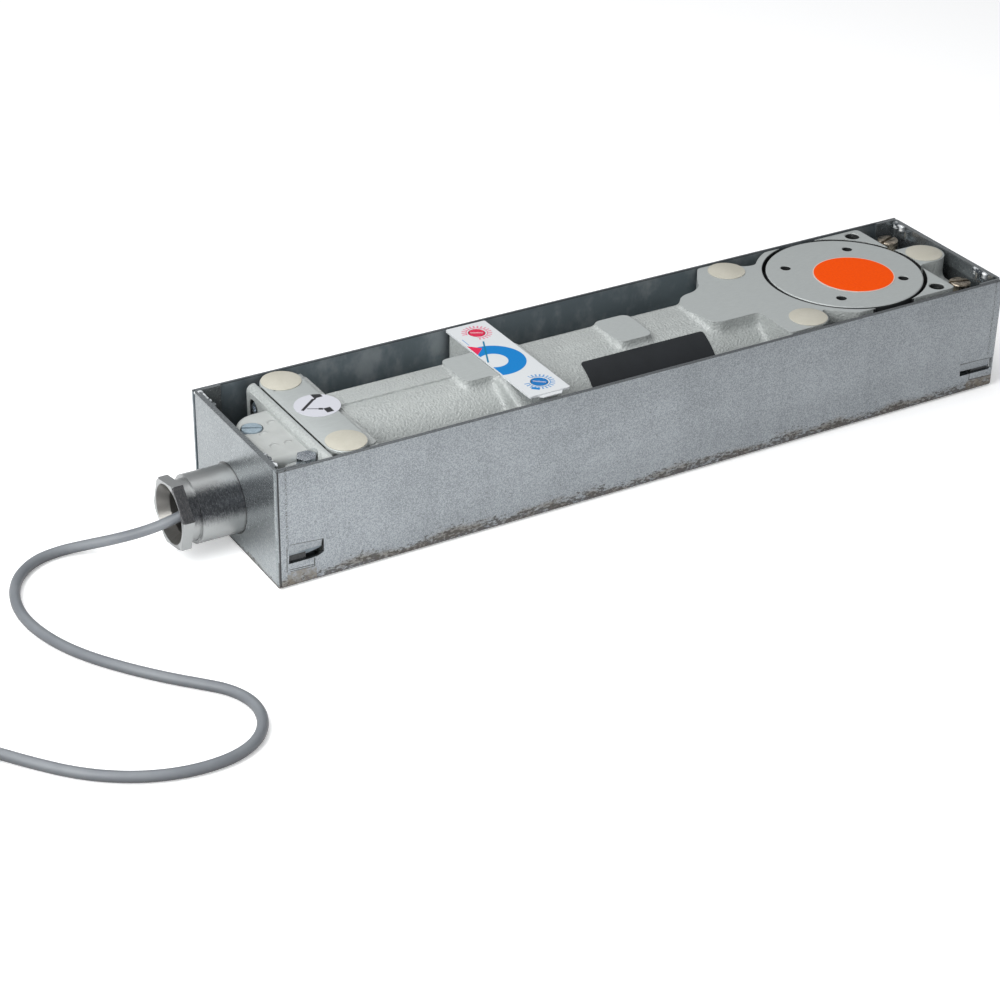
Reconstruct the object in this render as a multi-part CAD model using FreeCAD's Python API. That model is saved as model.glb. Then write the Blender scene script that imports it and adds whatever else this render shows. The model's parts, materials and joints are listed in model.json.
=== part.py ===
import FreeCAD, Part
import math
import os

# Floor spring door closer with an electric hold-open, in its cement box.
# Millimetres. The origin is on the box's underside, straight below the spindle.
# X runs along the box, plus towards the spindle end and minus towards the cable gland.
# Y runs across the box, plus towards the far wall. Z is up.

# Fits and clearances
running_fit = 0.05        # radial play of a turning or sliding fit
seat_fit = 0.02           # radial play of pieces that are pressed or screwed together
body_gap = 0.3            # between pieces that move past each other without touching
label_gap = 0.05          # under a curved label
over = 1.0                # how far a cutting shape reaches past the face that it cuts
least_bend = 0.3          # smallest inside radius of folded sheet
tiny = 0.001              # how closely an edge's place is read when edges are picked

# Cylinder of the hydraulic body
bore_radius = 20.0
bore_floor_wall = 4.5
bore_side_wall = 12.1
bore_crest_wall = 5.6
head_rise = 2.2           # the machined head stands this much above the barrel's crest
case_half_width = 38.9    # flats on both sides of the head
case_chamfer = 0.6

# Cement box of folded sheet
sheet = 1.25
floor_gap = 3.75          # air between the box floor and the casting
rim_gap = 0.7             # the casting's top lies this far below the rim
far_gap = 0.35            # the casting stands close to the far wall
near_gap = 4.55
box_bend = 2.0
plate_bend = 2.5
plate_flange = 13.0
hem_height = 7.0
tab_width = 9.0
tab_reach = 2.0
tab_drop = 4.5
tab_from_corner = 13.6
tab_rivet_radius = 1.6
lance_width = 16.6
lance_gap = 3.0
lance_sag = 1.0
lance_height = 13.0
lance_from_end = 5.1

# Cam, roller and pistons
shaft_mid_radius = 9.0
journal_radius = 12.5
pivot_radius = 8.0
pivot_length = 7.0
cam_thickness = 12.0
roller_start = 17.0       # roller centre from the spindle axis with the door closed
lift = 14.0               # travel of the carriage over the whole turn
cam_turn = 175.0          # degrees
roller_radius = 7.0
pin_radius = 3.5
cheek_thickness = 5.4
cheek_half_width = 7.5
cheek_play = 0.5
cheek_nose = 1.0          # the round end of a cheek is this much narrower than the cheek
cavity_radius = 28.0
fork_root_gap = 1.5
carriage_length = 40.0
carriage_seal_place = 8.0 # from the back of the carriage
cam_steps = 14            # points along half of the cam's edge
spring_length = 117.5
spring_mean_radius = 13.5
wire_radius = 2.75
spring_turns = 8
seat_ring_length = 6.0
clip_width = 2.0
clip_depth = 1.3
rod_radius = 6.0
rod_hold = 8.0
damper_gap = 12.0
damper_length = 25.0
damper_seal_place = 6.0   # from the back of the piston
chamber_reserve = 20.0
seal_width = 3.0
seal_depth = 2.0
ball_radius = 2.5
ball_offset = 12.5
ball_seat_depth = 10.0
ball_port_radius = 1.4
cap_length = 17.0
cap_thread_radius = 22.0
port_radius = 2.0
cap_seal_place = 3.0      # from the inner face of the cap
cap_key_flats = 10.0
cap_key_depth = 4.0

# Spindle opening, cover disc and bearings
disc_radius = 38.7
disc_thickness = 6.5
groove_width = 1.7        # ring gap round the disc
spigot_radius = 29.0
spigot_length = 7.5
drum_wall = 3.2
disc_ring_section = 1.0
disc_ring_drop = 3.0
bearing_wall = 4.0
upper_bearing_length = 7.0
lip_seal_length = 4.0
lower_bearing_length = 7.0
seal_bearing_gap = 0.1
disc_mouth_radius = 13.4
spanner_pcd = 57.5
spanner_radius = 2.6
spanner_depth = 4.0
spanner_turn = 49.9       # degrees from +X to the first spanner hole
socket_width = 15.5
socket_taper = 1.0
socket_depth = 12.5
spindle_thread_radius = 3.4
spindle_thread_depth = 20.0
sticker_radius = 20.0
sticker_shift_x = 2.9
sticker_shift_y = -3.6
sticker_thickness = 0.2

# Cover-plate ears and the round lug at the spindle end
ear_hole_x = 30.6
ear_edge = 5.4            # from a cover screw hole to the flat side
ear_right = 37.9
ear_corner = 3.0
ear_thickness = 16.0
ear_hole_radius = 3.4
ear_hole_depth = 14.0
ear_countersink = 0.6
lug_x = 49.5
lug_radius = 9.9
lug_shift_y = -0.5
lug_thickness = 10.5
foot_thickness = 7.0
foot_x = 57.0
foot_side_step = 1.9      # the foot is this much narrower than the head
foot_fillet = 4.0
end_gap = 2.35

# Pads on top of the casting
pad_thickness = 0.4
pad_radius = 9.2
pad_shift = 0.2           # the lug's pad sits a little off its centre
far_pad_x = -49.8
far_pad_edge = 9.4        # from the pad's centre to the flat side
near_pad_x = -45.3
near_pad_edge = 7.6
near_lug_reach = 9.6
near_lug_inset = 0.2

# Rib, ridge pads and valve wings of the barrel
rib_near = -0.6
rib_far = 10.8
rib_rise = 0.9
ridge_half_width = 11.4
ridge_corner = 2.4
ridge_a_shift = 6.0       # its left end, from the damping piston's back
ridge_a_length = 41.0
ridge_b_shift = 43.7      # its left end, from the spring seat
ridge_b_length = 17.7
wing_side_step = 1.7
wing_base_z = 20.0
web_left_step = 0.4       # the far web's left side, inside the plate's left edge
web_right_inset = 2.0     # both webs end under the plate
web_corner = 3.1
near_web_step = 2.7       # the near web stands out beyond the plate's left edge
near_web_flat = 16.7      # from here on the near web slopes down
near_web_drop = 7.6
valve_boss_wall = 2.2
neck_shift = 25.7         # the neck starts this far behind the carriage

# Edge of the casting between the barrel and the head
neck_far_steps = [(0.0, 8.0), (4.4, 14.9), (8.2, 17.0), (14.2, 17.9), (19.9, 21.6),
                  (23.6, 28.6), (27.9, 34.8)]
neck_near_steps = [(7.2, -15.6), (2.8, -12.8), (0.4, -0.7)]
neck_corner = 1.2
neck_join_x = -30.0
neck_join_far = 28.0
neck_join_near = -27.0
neck_waist_x = -39.0
neck_waist_y = 30.0
far_lug_shoulder = 10.5   # from the far lug's centre to the corner of the neck
near_lug_shoulder = 17.0
near_lug_right = 8.3
near_lug_inner_y = -15.6

# Instruction plate and regulating valves
plate_shift = 9.3         # the plate's middle, from the spring seat
plate_width = 21.2
plate_near_step = 1.3     # from the head's flat side
plate_far_step = 0.2
plate_thickness = 1.0
plate_sink = 0.6
plate_side_gap = 0.4
plate_corner = 1.0
plate_lip_length = 2.2
plate_lip_width = 14.5
plate_lip_taper = 2.5
valve_shift = 0.8         # from the plate's middle
valve_far_edge = 9.9      # from the flat side
valve_near_edge = 12.1
valve_head_radius = 3.85
valve_head_length = 3.6
valve_stem_radius = 2.6
valve_stem_length = 20.0
valve_ring_radius = 0.9
valve_ring_depth = 6.0    # below the head
valve_tip_length = 4.0
valve_tip_radius = 0.8
duct_radius = 1.2
valve_slot_width = 1.0
valve_slot_depth = 0.9
plate_hole_gap = 0.3

# Bare type label on the near slope of the barrel
label_gap_x = 1.4         # from the neck
label_length = 67.9
label_corner = 1.6
label_top_turn = 22.0     # degrees from the crest
label_low_turn = 58.0
label_thickness = 0.3

# Hold-open unit
unit_length = 28.3
unit_near_gap = 5.45      # air to the near wall
unit_far_gap = 6.25
unit_shoulder = 3.6
shoulder_width = 4.2
shoulder_height = 14.0
unit_corner = 3.0
seam = 1.0
bridge_width = 19.7
bridge_thickness = 2.0
bridge_gap = 0.55         # air between the bridge and both walls
lip_drop = 0.8
lip_thickness = 5.2
lip_width = 3.1
lip_near_gap = 3.45
lip_far_gap = 2.75
bridge_pad_near_gap = 9.85
bridge_pad_far_gap = 9.85
picto_overhang = 4.2      # over the bridge's right edge
picto_y = 0.9
picto_radius = 10.4
picto_thickness = 0.15
coil_radius = 14.8
coil_length = 18.0
coil_inset = 2.0          # behind the face against the casting
winding_gap = 0.1
bobbin_flange = 1.5
bobbin_wall = 1.4
armature_radius = 5.0
armature_length = 13.0
armature_travel = 1.2
armature_tip = 2.0
armature_tip_radius = 1.4
armature_room = 2.0
bolt_head_radius = 4.0
bolt_head_play = 0.8      # round a bolt's head in its counterbore
bolt_head_length = 3.6
bolt_shank_radius = 2.4
bolt_thread_length = 10.0
bolt_rise = 12.0          # above the centre of the barrel's crest arc
bolt_sink = 0.4
bolt_key_flats = 4.0
bolt_key_depth = 2.2
bolt_edge = 2.5           # from the cap's thread
yoke_screw_places = ((27.0, 48.6), (-20.0, 49.8))
yoke_head_radius = 3.4
yoke_head_length = 4.0
yoke_head_sink = 3.0
yoke_shank_radius = 2.0
yoke_shank_length = 9.0
yoke_window_down = 5.0    # the arched openings run this far down from the screw's axis

# Terminal cover and foot at the gland end
cover_width = 18.3
cover_near_gap = 15.65    # air to the near wall
cover_length = 43.6
cover_top_drop = 4.1
cover_height = 15.0
cover_wall = 1.5
cover_roof = 1.8
cover_corner = 12.0
cover_near_corner = 3.0
cover_edge = 2.2
cover_screw_left = 5.7    # from the cover's left edge
cover_screw_edge = 13.9   # from its far edge
cover_screw_head = 4.6
cover_screw_room = 0.5
cover_screw_rise = 0.4
cover_screw_turn = 60.0   # degrees
cover_screw_thick = 2.6
cover_screw_shank = 2.0
cover_clear = 3.85
block_near_step = 3.8     # from the cover's near edge
block_far_step = 21.8     # from its far edge
block_height = 10.0
terminal_radius = 1.9
terminal_play = 0.1
terminal_depth = 5.0
terminal_sink = 1.5
terminal_count = 4
foot_top_drop = 7.6
foot_plate = 4.0
foot_reach = 12.5
foot_near_gap = 1.65
foot_width = 13.7
foot_screw_reach = 3.5    # from the unit's left face
foot_screw_gap = 10.8     # from the near wall
hex_flats = 8.0
hex_height = 3.6
foot_shank_radius = 2.0
foot_washer_radius = 4.5
foot_pillar_radius = 3.1
washer_radius = 6.0
washer_thickness = 1.0

# Screws that hold the casting in the box
fixing_x = 50.6
fixing_y = 28.4
fixing_shift_y = 0.9
fixing_head_radius = 5.4
fixing_head_height = 3.4
fixing_shank_radius = 2.5
fixing_thread_length = 8.0
pillar_radius = 5.0
levelling_radius = 3.0
levelling_hold = 6.0
levelling_edge = 5.3      # from the flat side
levelling_cap_edge = 11.0 # from the casting's end
levelling_wall = 4.7      # from the barrel's side
slot_width = 1.4
slot_depth = 1.3
screw_edge = 0.8
fixing_slot_turn = 20.0   # degrees
levelling_reserve = 1.0
foot_screw_turn = 0.0     # degrees

# Cable gland
gland_y = 3.0
gland_z = 21.7
sleeve_radius = 15.7
sleeve_length = 20.4
sleeve_bore = 10.5
neck_radius = 14.0
neck_length = 4.2
nut_flats = 29.6
nut_thickness = 5.1
nut_mouth_radius = 13.8
nut_turn = 49.0           # degrees
nut_chamfer = 0.9
spigot_thread_radius = 12.4
locknut_flats = 28.0
locknut_thickness = 3.2
seal_front = 7.0          # the rubber seal ends this far outside the end plate
seal_wall = 1.4

# Cord
cord_radius = 2.4
cord_coil_centre = (-526.0, -92.0)
cord_coil_mean_radius = 26.5
cord_coil_layers = 3
core_radius = 0.7
core_length = 18.0
core_spacing = 2.1
tail_length = 34.0
cord_straight = 7.8       # inside the sleeve
cord_path = [
    (-353.5, 3.3, 19.4),
    (-361.5, 7.3, 14.8),
    (-370.0, 12.8, 10.2),
    (-380.0, 19.0, 6.4),
    (-391.0, 24.6, 3.8),
    (-402.8, 27.8, 2.4),
    (-414.8, 25.4, 2.4),
    (-425.0, 17.4, 2.4),
    (-431.8, 6.0, 2.4),
    (-435.2, -8.0, 2.4),
    (-434.8, -23.5, 2.4),
    (-430.2, -41.0, 2.4),
    (-422.4, -56.8, 2.4),
    (-411.4, -72.6, 2.4),
    (-400.2, -86.2, 2.4),
    (-390.8, -96.0, 2.4),
    (-382.4, -105.2, 2.4),
    (-377.8, -117.6, 2.4),
    (-379.7, -130.7, 2.4),
    (-387.4, -141.4, 2.4),
    (-399.3, -147.2, 2.4),
    (-413.5, -148.0, 2.4),
    (-428.0, -145.2, 2.4),
    (-442.5, -138.6, 2.4),
    (-456.5, -128.0, 2.4),
    (-469.0, -113.5, 2.4),
    (-480.8, -97.4, 2.4),
    (-492.6, -82.8, 2.4),
    (-506.0, -69.5, 2.4),
    (-524.0, -61.2, 2.4),
]
lead_room = 13.2          # the lead runs straight this far past the end plate's face
lead_drop_y = 15.8        # from the cover's near edge to the lead's end
lead_rise = 4.8

# Heights worked out from the casting
case_base = sheet + floor_gap
bore_z = case_base + bore_floor_wall + bore_radius
barrel_half_width = bore_radius + bore_side_wall
crest_z = bore_z + bore_radius + bore_crest_wall
arch_z = crest_z - barrel_half_width
case_top = crest_z + head_rise
rib_top = crest_z + rib_rise
box_height = case_top + rim_gap

# Stations along the cylinder, worked out from the spindle towards the gland
carriage_front = -(roller_start + roller_radius + fork_root_gap)
carriage_back = carriage_front - carriage_length
seat_front = carriage_back - spring_length
seat_back = seat_front - seat_ring_length
clip_back = seat_back - clip_width
damper_front = clip_back - damper_gap
damper_back = damper_front - damper_length
cap_front = damper_back - lift - chamber_reserve
case_left = cap_front - cap_length
unit_left = case_left - unit_length
cover_left = unit_left - cover_width
box_left = cover_left - cover_clear - sheet
box_right = lug_x + lug_radius + end_gap + sheet
box_near = -(case_half_width + near_gap + sheet)
box_far = case_half_width + far_gap + sheet
wall_near = box_near + sheet
wall_far = box_far - sheet
bridge_top = box_height - pad_thickness
cover_top = box_height - cover_top_drop
terminal_top = cover_top - cover_roof - body_gap
terminal_x = (cover_left + unit_left) / 2
foot_top = box_height - foot_top_drop
foot_base = foot_top - foot_plate
bridge_base = bridge_top - bridge_thickness
bridge_right = unit_left + shoulder_width + seam + bridge_width
bridge_left = unit_left + shoulder_width + seam
case_foot_top = case_top - lug_thickness
bolt_z = arch_z + bolt_rise
valve_ring_z = case_top - plate_sink - valve_head_length - valve_ring_depth
case_foot_base = case_foot_top - foot_thickness

# Places that follow the stations and the casting's width
head_pad_far = (far_pad_x, case_half_width - far_pad_edge)
head_pad_near = (near_pad_x, -(case_half_width - near_pad_edge))
ear_hole_y = case_half_width - ear_edge
foot_half_width = case_half_width - foot_side_step
wing_half_width = case_half_width - wing_side_step
levelling_y = case_half_width - levelling_edge
levelling_left_x = case_left + levelling_cap_edge
levelling_left_y = barrel_half_width - levelling_wall
bolt_far_y = cap_thread_radius + bolt_edge
bolt_near_y = -bolt_far_y
unit_near = wall_near + unit_near_gap
unit_far = wall_far - unit_far_gap
bridge_near = wall_near + bridge_gap
bridge_far = wall_far - bridge_gap
lip_near = wall_near + lip_near_gap
lip_far = wall_far - lip_far_gap
bridge_pad_y = (wall_near + bridge_pad_near_gap, wall_far - bridge_pad_far_gap)
plate_mid_x = seat_front - plate_shift
plate_near = -(case_half_width - plate_near_step)
plate_far = case_half_width - plate_far_step
plate_left = plate_mid_x - plate_width / 2
web_right = plate_mid_x + plate_width / 2 - web_right_inset
valve_x = plate_mid_x + valve_shift
valve_far_y = case_half_width - valve_far_edge
valve_near_y = -(case_half_width - valve_near_edge)
unit_foot_near = wall_near + foot_near_gap
unit_foot_far = unit_foot_near + foot_width
unit_foot_screw_x = unit_left - foot_screw_reach
unit_foot_screw_y = wall_near + foot_screw_gap
cover_near = wall_near + cover_near_gap
cover_far = cover_near + cover_length
cover_screw_x = cover_left + cover_screw_left
cover_screw_y = cover_far - cover_screw_edge
block_near = cover_near + block_near_step
block_far = cover_far - block_far_step
ridge_a_left = damper_back + ridge_a_shift
ridge_a = (ridge_a_left, ridge_a_left + ridge_a_length)
ridge_b_left = seat_front + ridge_b_shift
ridge_b = (ridge_b_left, ridge_b_left + ridge_b_length)
neck_left = carriage_back - neck_shift
label_x1 = neck_left - label_gap_x
label_x0 = label_x1 - label_length
picto_x = bridge_right - picto_radius + picto_overhang
cord_start = box_left - seal_front
cord_route = [(cord_start, gland_y, gland_z), (cord_start - cord_straight, gland_y, gland_z)]
cord_route += cord_path
lead_y = cover_near + lead_drop_y
lead_corners = [(cord_start, gland_y, gland_z), (box_left + lead_room, gland_y, gland_z),
                (terminal_x, lead_y, gland_z + lead_rise),
                (terminal_x, lead_y, terminal_top - block_height)]
# Corners between the barrel and the head's lugs, from the start of the neck
neck_far_edge = [(neck_left + along, across) for along, across in neck_far_steps]
neck_near_edge = [(neck_left + along, across) for along, across in neck_near_steps]

# Heights of the cam drive
cam_low = bore_z - cam_thickness / 2
cam_high = bore_z + cam_thickness / 2
cheek_low = cam_low - cheek_play - cheek_thickness
cheek_high = cam_high + cheek_play + cheek_thickness
disc_base = case_top - disc_thickness
spigot_base = disc_base - spigot_length
cavity_floor = cheek_low - cheek_play
pivot_base = cavity_floor - pivot_length
shaft_top = case_top - body_gap


def vec(x, y, z):
    return FreeCAD.Vector(x, y, z)


def block(x0, x1, y0, y1, z0, z1):
    """A box between two corners, in any order of the limits."""
    low = vec(min(x0, x1), min(y0, y1), min(z0, z1))
    return Part.makeBox(abs(x1 - x0), abs(y1 - y0), abs(z1 - z0), low)


def post(x, y, radius, z0, z1):
    """An upright cylinder."""
    return Part.makeCylinder(radius, abs(z1 - z0), vec(x, y, min(z0, z1)), vec(0, 0, 1))


def bar(y, z, radius, x0, x1):
    """A cylinder that lies along X."""
    return Part.makeCylinder(radius, abs(x1 - x0), vec(min(x0, x1), y, z), vec(1, 0, 0))


def tube_z(x, y, outer, inner, z0, z1):
    return post(x, y, outer, z0, z1).cut(post(x, y, inner, z0 - over, z1 + over))


def tube_x(y, z, outer, inner, x0, x1):
    return bar(y, z, outer, x0, x1).cut(bar(y, z, inner, min(x0, x1) - over, max(x0, x1) + over))


def slab(outline, z0, z1):
    """An outline in plan, a list of x and y pairs, raised from z0 to z1."""
    corners = [vec(x, y, z0) for x, y in outline]
    face = Part.Face(Part.makePolygon(corners + corners[:1]))
    return face.extrude(vec(0, 0, z1 - z0))


def strip_x(outline, x0, x1):
    """An outline across the box, a list of y and z pairs, drawn out from x0 to x1."""
    corners = [vec(x0, y, z) for y, z in outline]
    face = Part.Face(Part.makePolygon(corners + corners[:1]))
    return face.extrude(vec(x1 - x0, 0, 0))


def hexagon_z(x, y, flats, z0, z1, turn=0.0):
    reach = flats / math.sqrt(3)
    angles = [math.radians(60 * k + turn) for k in range(6)]
    return slab([(x + reach * math.cos(a), y + reach * math.sin(a)) for a in angles], z0, z1)


def hexagon_x(y, z, flats, x0, x1, turn=0.0):
    reach = flats / math.sqrt(3)
    angles = [math.radians(60 * k + turn) for k in range(6)]
    return strip_x([(y + reach * math.cos(a), z + reach * math.sin(a)) for a in angles], x0, x1)


def round_rect(x0, x1, y0, y1, z0, z1, corner):
    """A block whose four upright edges are rounded."""
    body = block(x0, x1, y0, y1, z0, z1)
    upright = [e for e in body.Edges if abs(e.tangentAt(e.FirstParameter).z) > 0.99]
    return body.makeFillet(corner, upright)


def stadium_y(x0, x1, y0, y1, z0, z1):
    """A flat bar along Y with half-round ends."""
    radius = (x1 - x0) / 2
    mid = (x0 + x1) / 2
    body = block(x0, x1, y0 + radius, y1 - radius, z0, z1)
    ends = [post(mid, y0 + radius, radius, z0, z1), post(mid, y1 - radius, radius, z0, z1)]
    return body.fuse(ends).removeSplitter()


def slotted_head(x, y, radius, z0, z1, slot_angle):
    """A round screw head with a driver slot across its top."""
    head = post(x, y, radius, z0, z1)
    edge = [e for e in head.Edges if abs(e.BoundBox.ZMin - z1) < tiny and e.BoundBox.ZLength < tiny]
    head = head.makeFillet(min(screw_edge, (z1 - z0) / 3), edge)
    slot = block(-radius - over, radius + over, -slot_width / 2, slot_width / 2, z1 - slot_depth,
                 z1 + over)
    slot.rotate(vec(0, 0, 0), vec(0, 0, 1), slot_angle)
    slot.translate(vec(x, y, 0))
    return head.cut(slot)


def save(node, shape):
    """Write one node, and say how many solids it holds."""
    if not shape.isValid():
        print("not valid:", node)
    shape.exportStep("parts/" + node + ".step")
    print(node, len(shape.Solids), round(shape.Volume, 1))


def group(shapes):
    return Part.makeCompound(shapes)


def rounded_route(points):
    """A wire of straight runs joined by tangent arcs, and the arcs' radii."""
    places = [vec(*p) for p in points]
    edges = []
    radii = []
    start = places[0]
    for before, corner, after in zip(places, places[1:], places[2:]):
        run_in = corner.sub(before)
        run_out = after.sub(corner)
        half_turn = run_in.getAngle(run_out) / 2
        cut_back = 0.45 * min(run_in.Length, run_out.Length)
        radius = cut_back / math.tan(half_turn)
        way_in = vec(*run_in).normalize()
        way_out = vec(*run_out).normalize()
        arc_start = corner.sub(vec(*way_in).multiply(cut_back))
        arc_end = corner.add(vec(*way_out).multiply(cut_back))
        inward = vec(*way_out).sub(way_in).normalize()
        arc_mid = corner.add(inward.multiply(radius / math.cos(half_turn) - radius))
        edges.append(Part.LineSegment(start, arc_start).toShape())
        edges.append(Part.Arc(arc_start, arc_mid, arc_end).toShape())
        radii.append(radius)
        start = arc_end
    edges.append(Part.LineSegment(start, places[-1]).toShape())
    return Part.Wire(edges), radii


def cord_tube(points, radius, label):
    """A round tube along a route, with a report of its arcs and volume."""
    wire, radii = rounded_route(points)
    first = vec(*points[0])
    along = vec(*points[1]).sub(first).normalize()
    ring = Part.Wire(Part.makeCircle(radius, first, along))
    tube = wire.makePipeShell([ring], True, False)
    expected = math.pi * radius ** 2 * wire.Length
    print(label, "radii in diameters:", [round(r / (2 * radius), 1) for r in radii])
    print(label, "length", round(wire.Length, 1), "volume ratio", round(tube.Volume / expected, 4))
    return tube


# Cement box

def lance_openings(y_wall):
    """The lanced slots near both ends of a side wall, with their curved lower edge."""
    low = lance_height - lance_gap / 2 + lance_sag
    cuts = []
    for x0 in (box_left + lance_from_end, box_right - lance_from_end - lance_width):
        x1 = x0 + lance_width
        flat = block(x0, x1, y_wall - sheet, y_wall + sheet, low, low + lance_gap - lance_sag)
        rise = math.sqrt(lance_width ** 2 - (lance_width / 2) ** 2)
        centre = vec((x0 + x1) / 2, y_wall - sheet, low + rise)
        dish = Part.makeCylinder(lance_width, 2 * sheet, centre, vec(0, 1, 0))
        dish = dish.common(block(x0, x1, y_wall - sheet, y_wall + sheet, 0, low + lance_sag / 2))
        cuts.append(flat.fuse(dish))
    return cuts


def box_channel():
    outline = strip_x([(box_near, 0), (box_far, 0), (box_far, box_height), (box_near, box_height)],
                      box_left, box_right)
    lower = [e for e in outline.Edges if e.BoundBox.ZMax < tiny and e.BoundBox.YLength < tiny]
    outline = outline.makeFillet(box_bend, lower)
    hollow = block(box_left - over, box_right + over, wall_near, wall_far, sheet, box_height + over)
    floor_edges = [e for e in hollow.Edges
                   if abs(e.BoundBox.ZMax - sheet) < tiny and e.BoundBox.YLength < tiny]
    hollow = hollow.makeFillet(max(box_bend - sheet, least_bend), floor_edges)
    channel = outline.cut(hollow)
    mid_near = box_near + sheet / 2
    mid_far = box_far - sheet / 2
    return channel.cut(lance_openings(mid_near) + lance_openings(mid_far))


def end_plate(x_face, inward):
    """A folded end plate. x_face is its outer face, inward is +1 or -1 along X."""
    tip = x_face + inward * plate_flange
    outer = block(x_face, tip, wall_near, wall_far, sheet, box_height)
    corners = [e for e in outer.Edges
               if e.BoundBox.ZLength > 1 and abs(e.BoundBox.XMin - x_face) < tiny]
    outer = outer.makeFillet(plate_bend, corners)
    inner = block(x_face + inward * sheet, tip + inward * over, wall_near + sheet,
                  wall_far - sheet, 0, box_height + over)
    corners = [e for e in inner.Edges
               if e.BoundBox.ZLength > 1 and abs(e.BoundBox.XMin - x_face - inward * sheet) < tiny]
    inner = inner.makeFillet(max(plate_bend - sheet, least_bend), corners)
    plate = outer.cut(inner)
    hem_side = wall_near + sheet + plate_bend
    hem = block(x_face + inward * sheet, x_face + 2 * inward * sheet, hem_side,
                wall_far - sheet - plate_bend, box_height - hem_height, box_height)
    pieces = [hem]
    for side in (wall_near + tab_from_corner, wall_far - tab_from_corner):
        shelf_z = box_height - tab_drop
        pieces.append(block(x_face + inward * sheet, x_face + inward * (2 * sheet + tab_reach),
                            side - tab_width / 2, side + tab_width / 2, shelf_z - sheet, shelf_z))
        pieces.append(post(x_face + inward * (sheet + tab_reach), side, tab_rivet_radius,
                           shelf_z - sheet, shelf_z - sheet + tab_drop))
    bend_room = box_bend - sheet + seat_fit
    corners = [block(x_face - inward * over, tip + inward * over, y, y + side * bend_room, 0,
                     box_bend)
               for y, side in ((wall_near, 1), (wall_far, -1))]
    return plate.fuse(pieces).removeSplitter().cut(corners)


# Hydraulic body

def arch_section(half_width, low, high_centre):
    """The barrel's outline across the box: upright sides under a round crest."""
    a = vec(0, -half_width, low)
    b = vec(0, half_width, low)
    c = vec(0, half_width, high_centre)
    d = vec(0, -half_width, high_centre)
    crown = Part.Arc(c, vec(0, 0, high_centre + half_width), d).toShape()
    sides = [Part.LineSegment(d, a).toShape(), Part.LineSegment(a, b).toShape(),
             Part.LineSegment(b, c).toShape()]
    return Part.Face(Part.Wire(sides + [crown]))


def barrel():
    section = arch_section(barrel_half_width, case_base, arch_z)
    section.translate(vec(case_left, 0, 0))
    return section.extrude(vec(-case_left, 0, 0))


def far_web():
    """Upright web that carries the closing valve beside the barrel."""
    web = block(plate_left + web_left_step, web_right, 0, wing_half_width, wing_base_z, case_top)
    outer = [e for e in web.Edges
             if e.BoundBox.ZLength > over and e.BoundBox.YMin > wing_half_width - tiny]
    return web.makeFillet(web_corner, outer)


def near_web():
    """Web that slopes down to the near side, with an upright boss for the latching valve."""
    top = case_top - plate_sink
    outline = [(0, wing_base_z), (-wing_half_width, wing_base_z),
               (-wing_half_width, top - near_web_drop), (-near_web_flat, top), (0, top)]
    web = strip_x(outline, plate_left - near_web_step, web_right)
    boss = post(valve_x, valve_near_y, valve_head_radius + valve_boss_wall, wing_base_z, top)
    return web.fuse(boss)


def head_block():
    """The machined head round the spindle, with its neck, pad lugs, ears and foot."""
    half = case_half_width
    far_x, far_y = head_pad_far
    near_x, near_y = head_pad_near
    near_edge_y = near_y - near_lug_reach + near_lug_inset
    outline = neck_far_edge + [
        (far_x - far_lug_shoulder, half), (far_x, half), (neck_waist_x, neck_waist_y),
        (neck_join_x, neck_join_far), (neck_join_x, neck_join_near),
        (near_x + near_lug_right, neck_join_near), (near_x, near_edge_y),
        (near_x - near_lug_shoulder, near_edge_y),
        (near_x - near_lug_shoulder, near_lug_inner_y)] + neck_near_edge
    neck = slab(outline, bore_z, case_top)
    corners = [e for e in neck.Edges
               if e.BoundBox.ZLength > over and neck_left + over < e.BoundBox.XMin < far_x - over]
    neck = neck.makeFillet(neck_corner, corners)
    near_lug = post(near_x, near_y, near_lug_reach, bore_z, case_top)
    far_lug = post(far_x, far_y, half - far_y, bore_z, case_top)
    drum = post(0, 0, disc_radius + groove_width + drum_wall, case_base, case_top)
    drum = drum.common(block(-2 * disc_radius, ear_right, -half, half, 0, case_top))
    ears = round_rect(0, ear_right, -half, half, case_top - ear_thickness, case_top, ear_corner)
    lug = post(lug_x, lug_shift_y, lug_radius, case_foot_top, case_top)
    lug_neck = block(0, lug_x, lug_shift_y - lug_radius, lug_shift_y + lug_radius,
                     case_foot_top, case_top)
    lug = lug.fuse(lug_neck).removeSplitter()
    foot = round_rect(0, foot_x, -foot_half_width, foot_half_width, case_foot_base, case_foot_top,
                      ear_corner)
    lug_foot = foot.fuse(lug).removeSplitter()
    seam_edges = [e for e in lug_foot.Edges
                  if abs(e.BoundBox.ZMin - case_foot_top) < tiny
                  and abs(e.BoundBox.ZMax - case_foot_top) < tiny
                  and e.BoundBox.XMax <= lug_x + tiny
                  and abs(e.CenterOfMass.y - lug_shift_y) < lug_radius + tiny
                  and e.BoundBox.YLength < tiny]
    if seam_edges:
        lug_foot = lug_foot.makeFillet(foot_fillet, seam_edges)
    return neck.fuse([near_lug, far_lug, drum, ears, lug_foot])


def ridge_pad(limits):
    x0, x1 = limits
    return round_rect(x0, x1, -ridge_half_width, ridge_half_width, bore_z + bore_radius, case_top,
                      ridge_corner)


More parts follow.
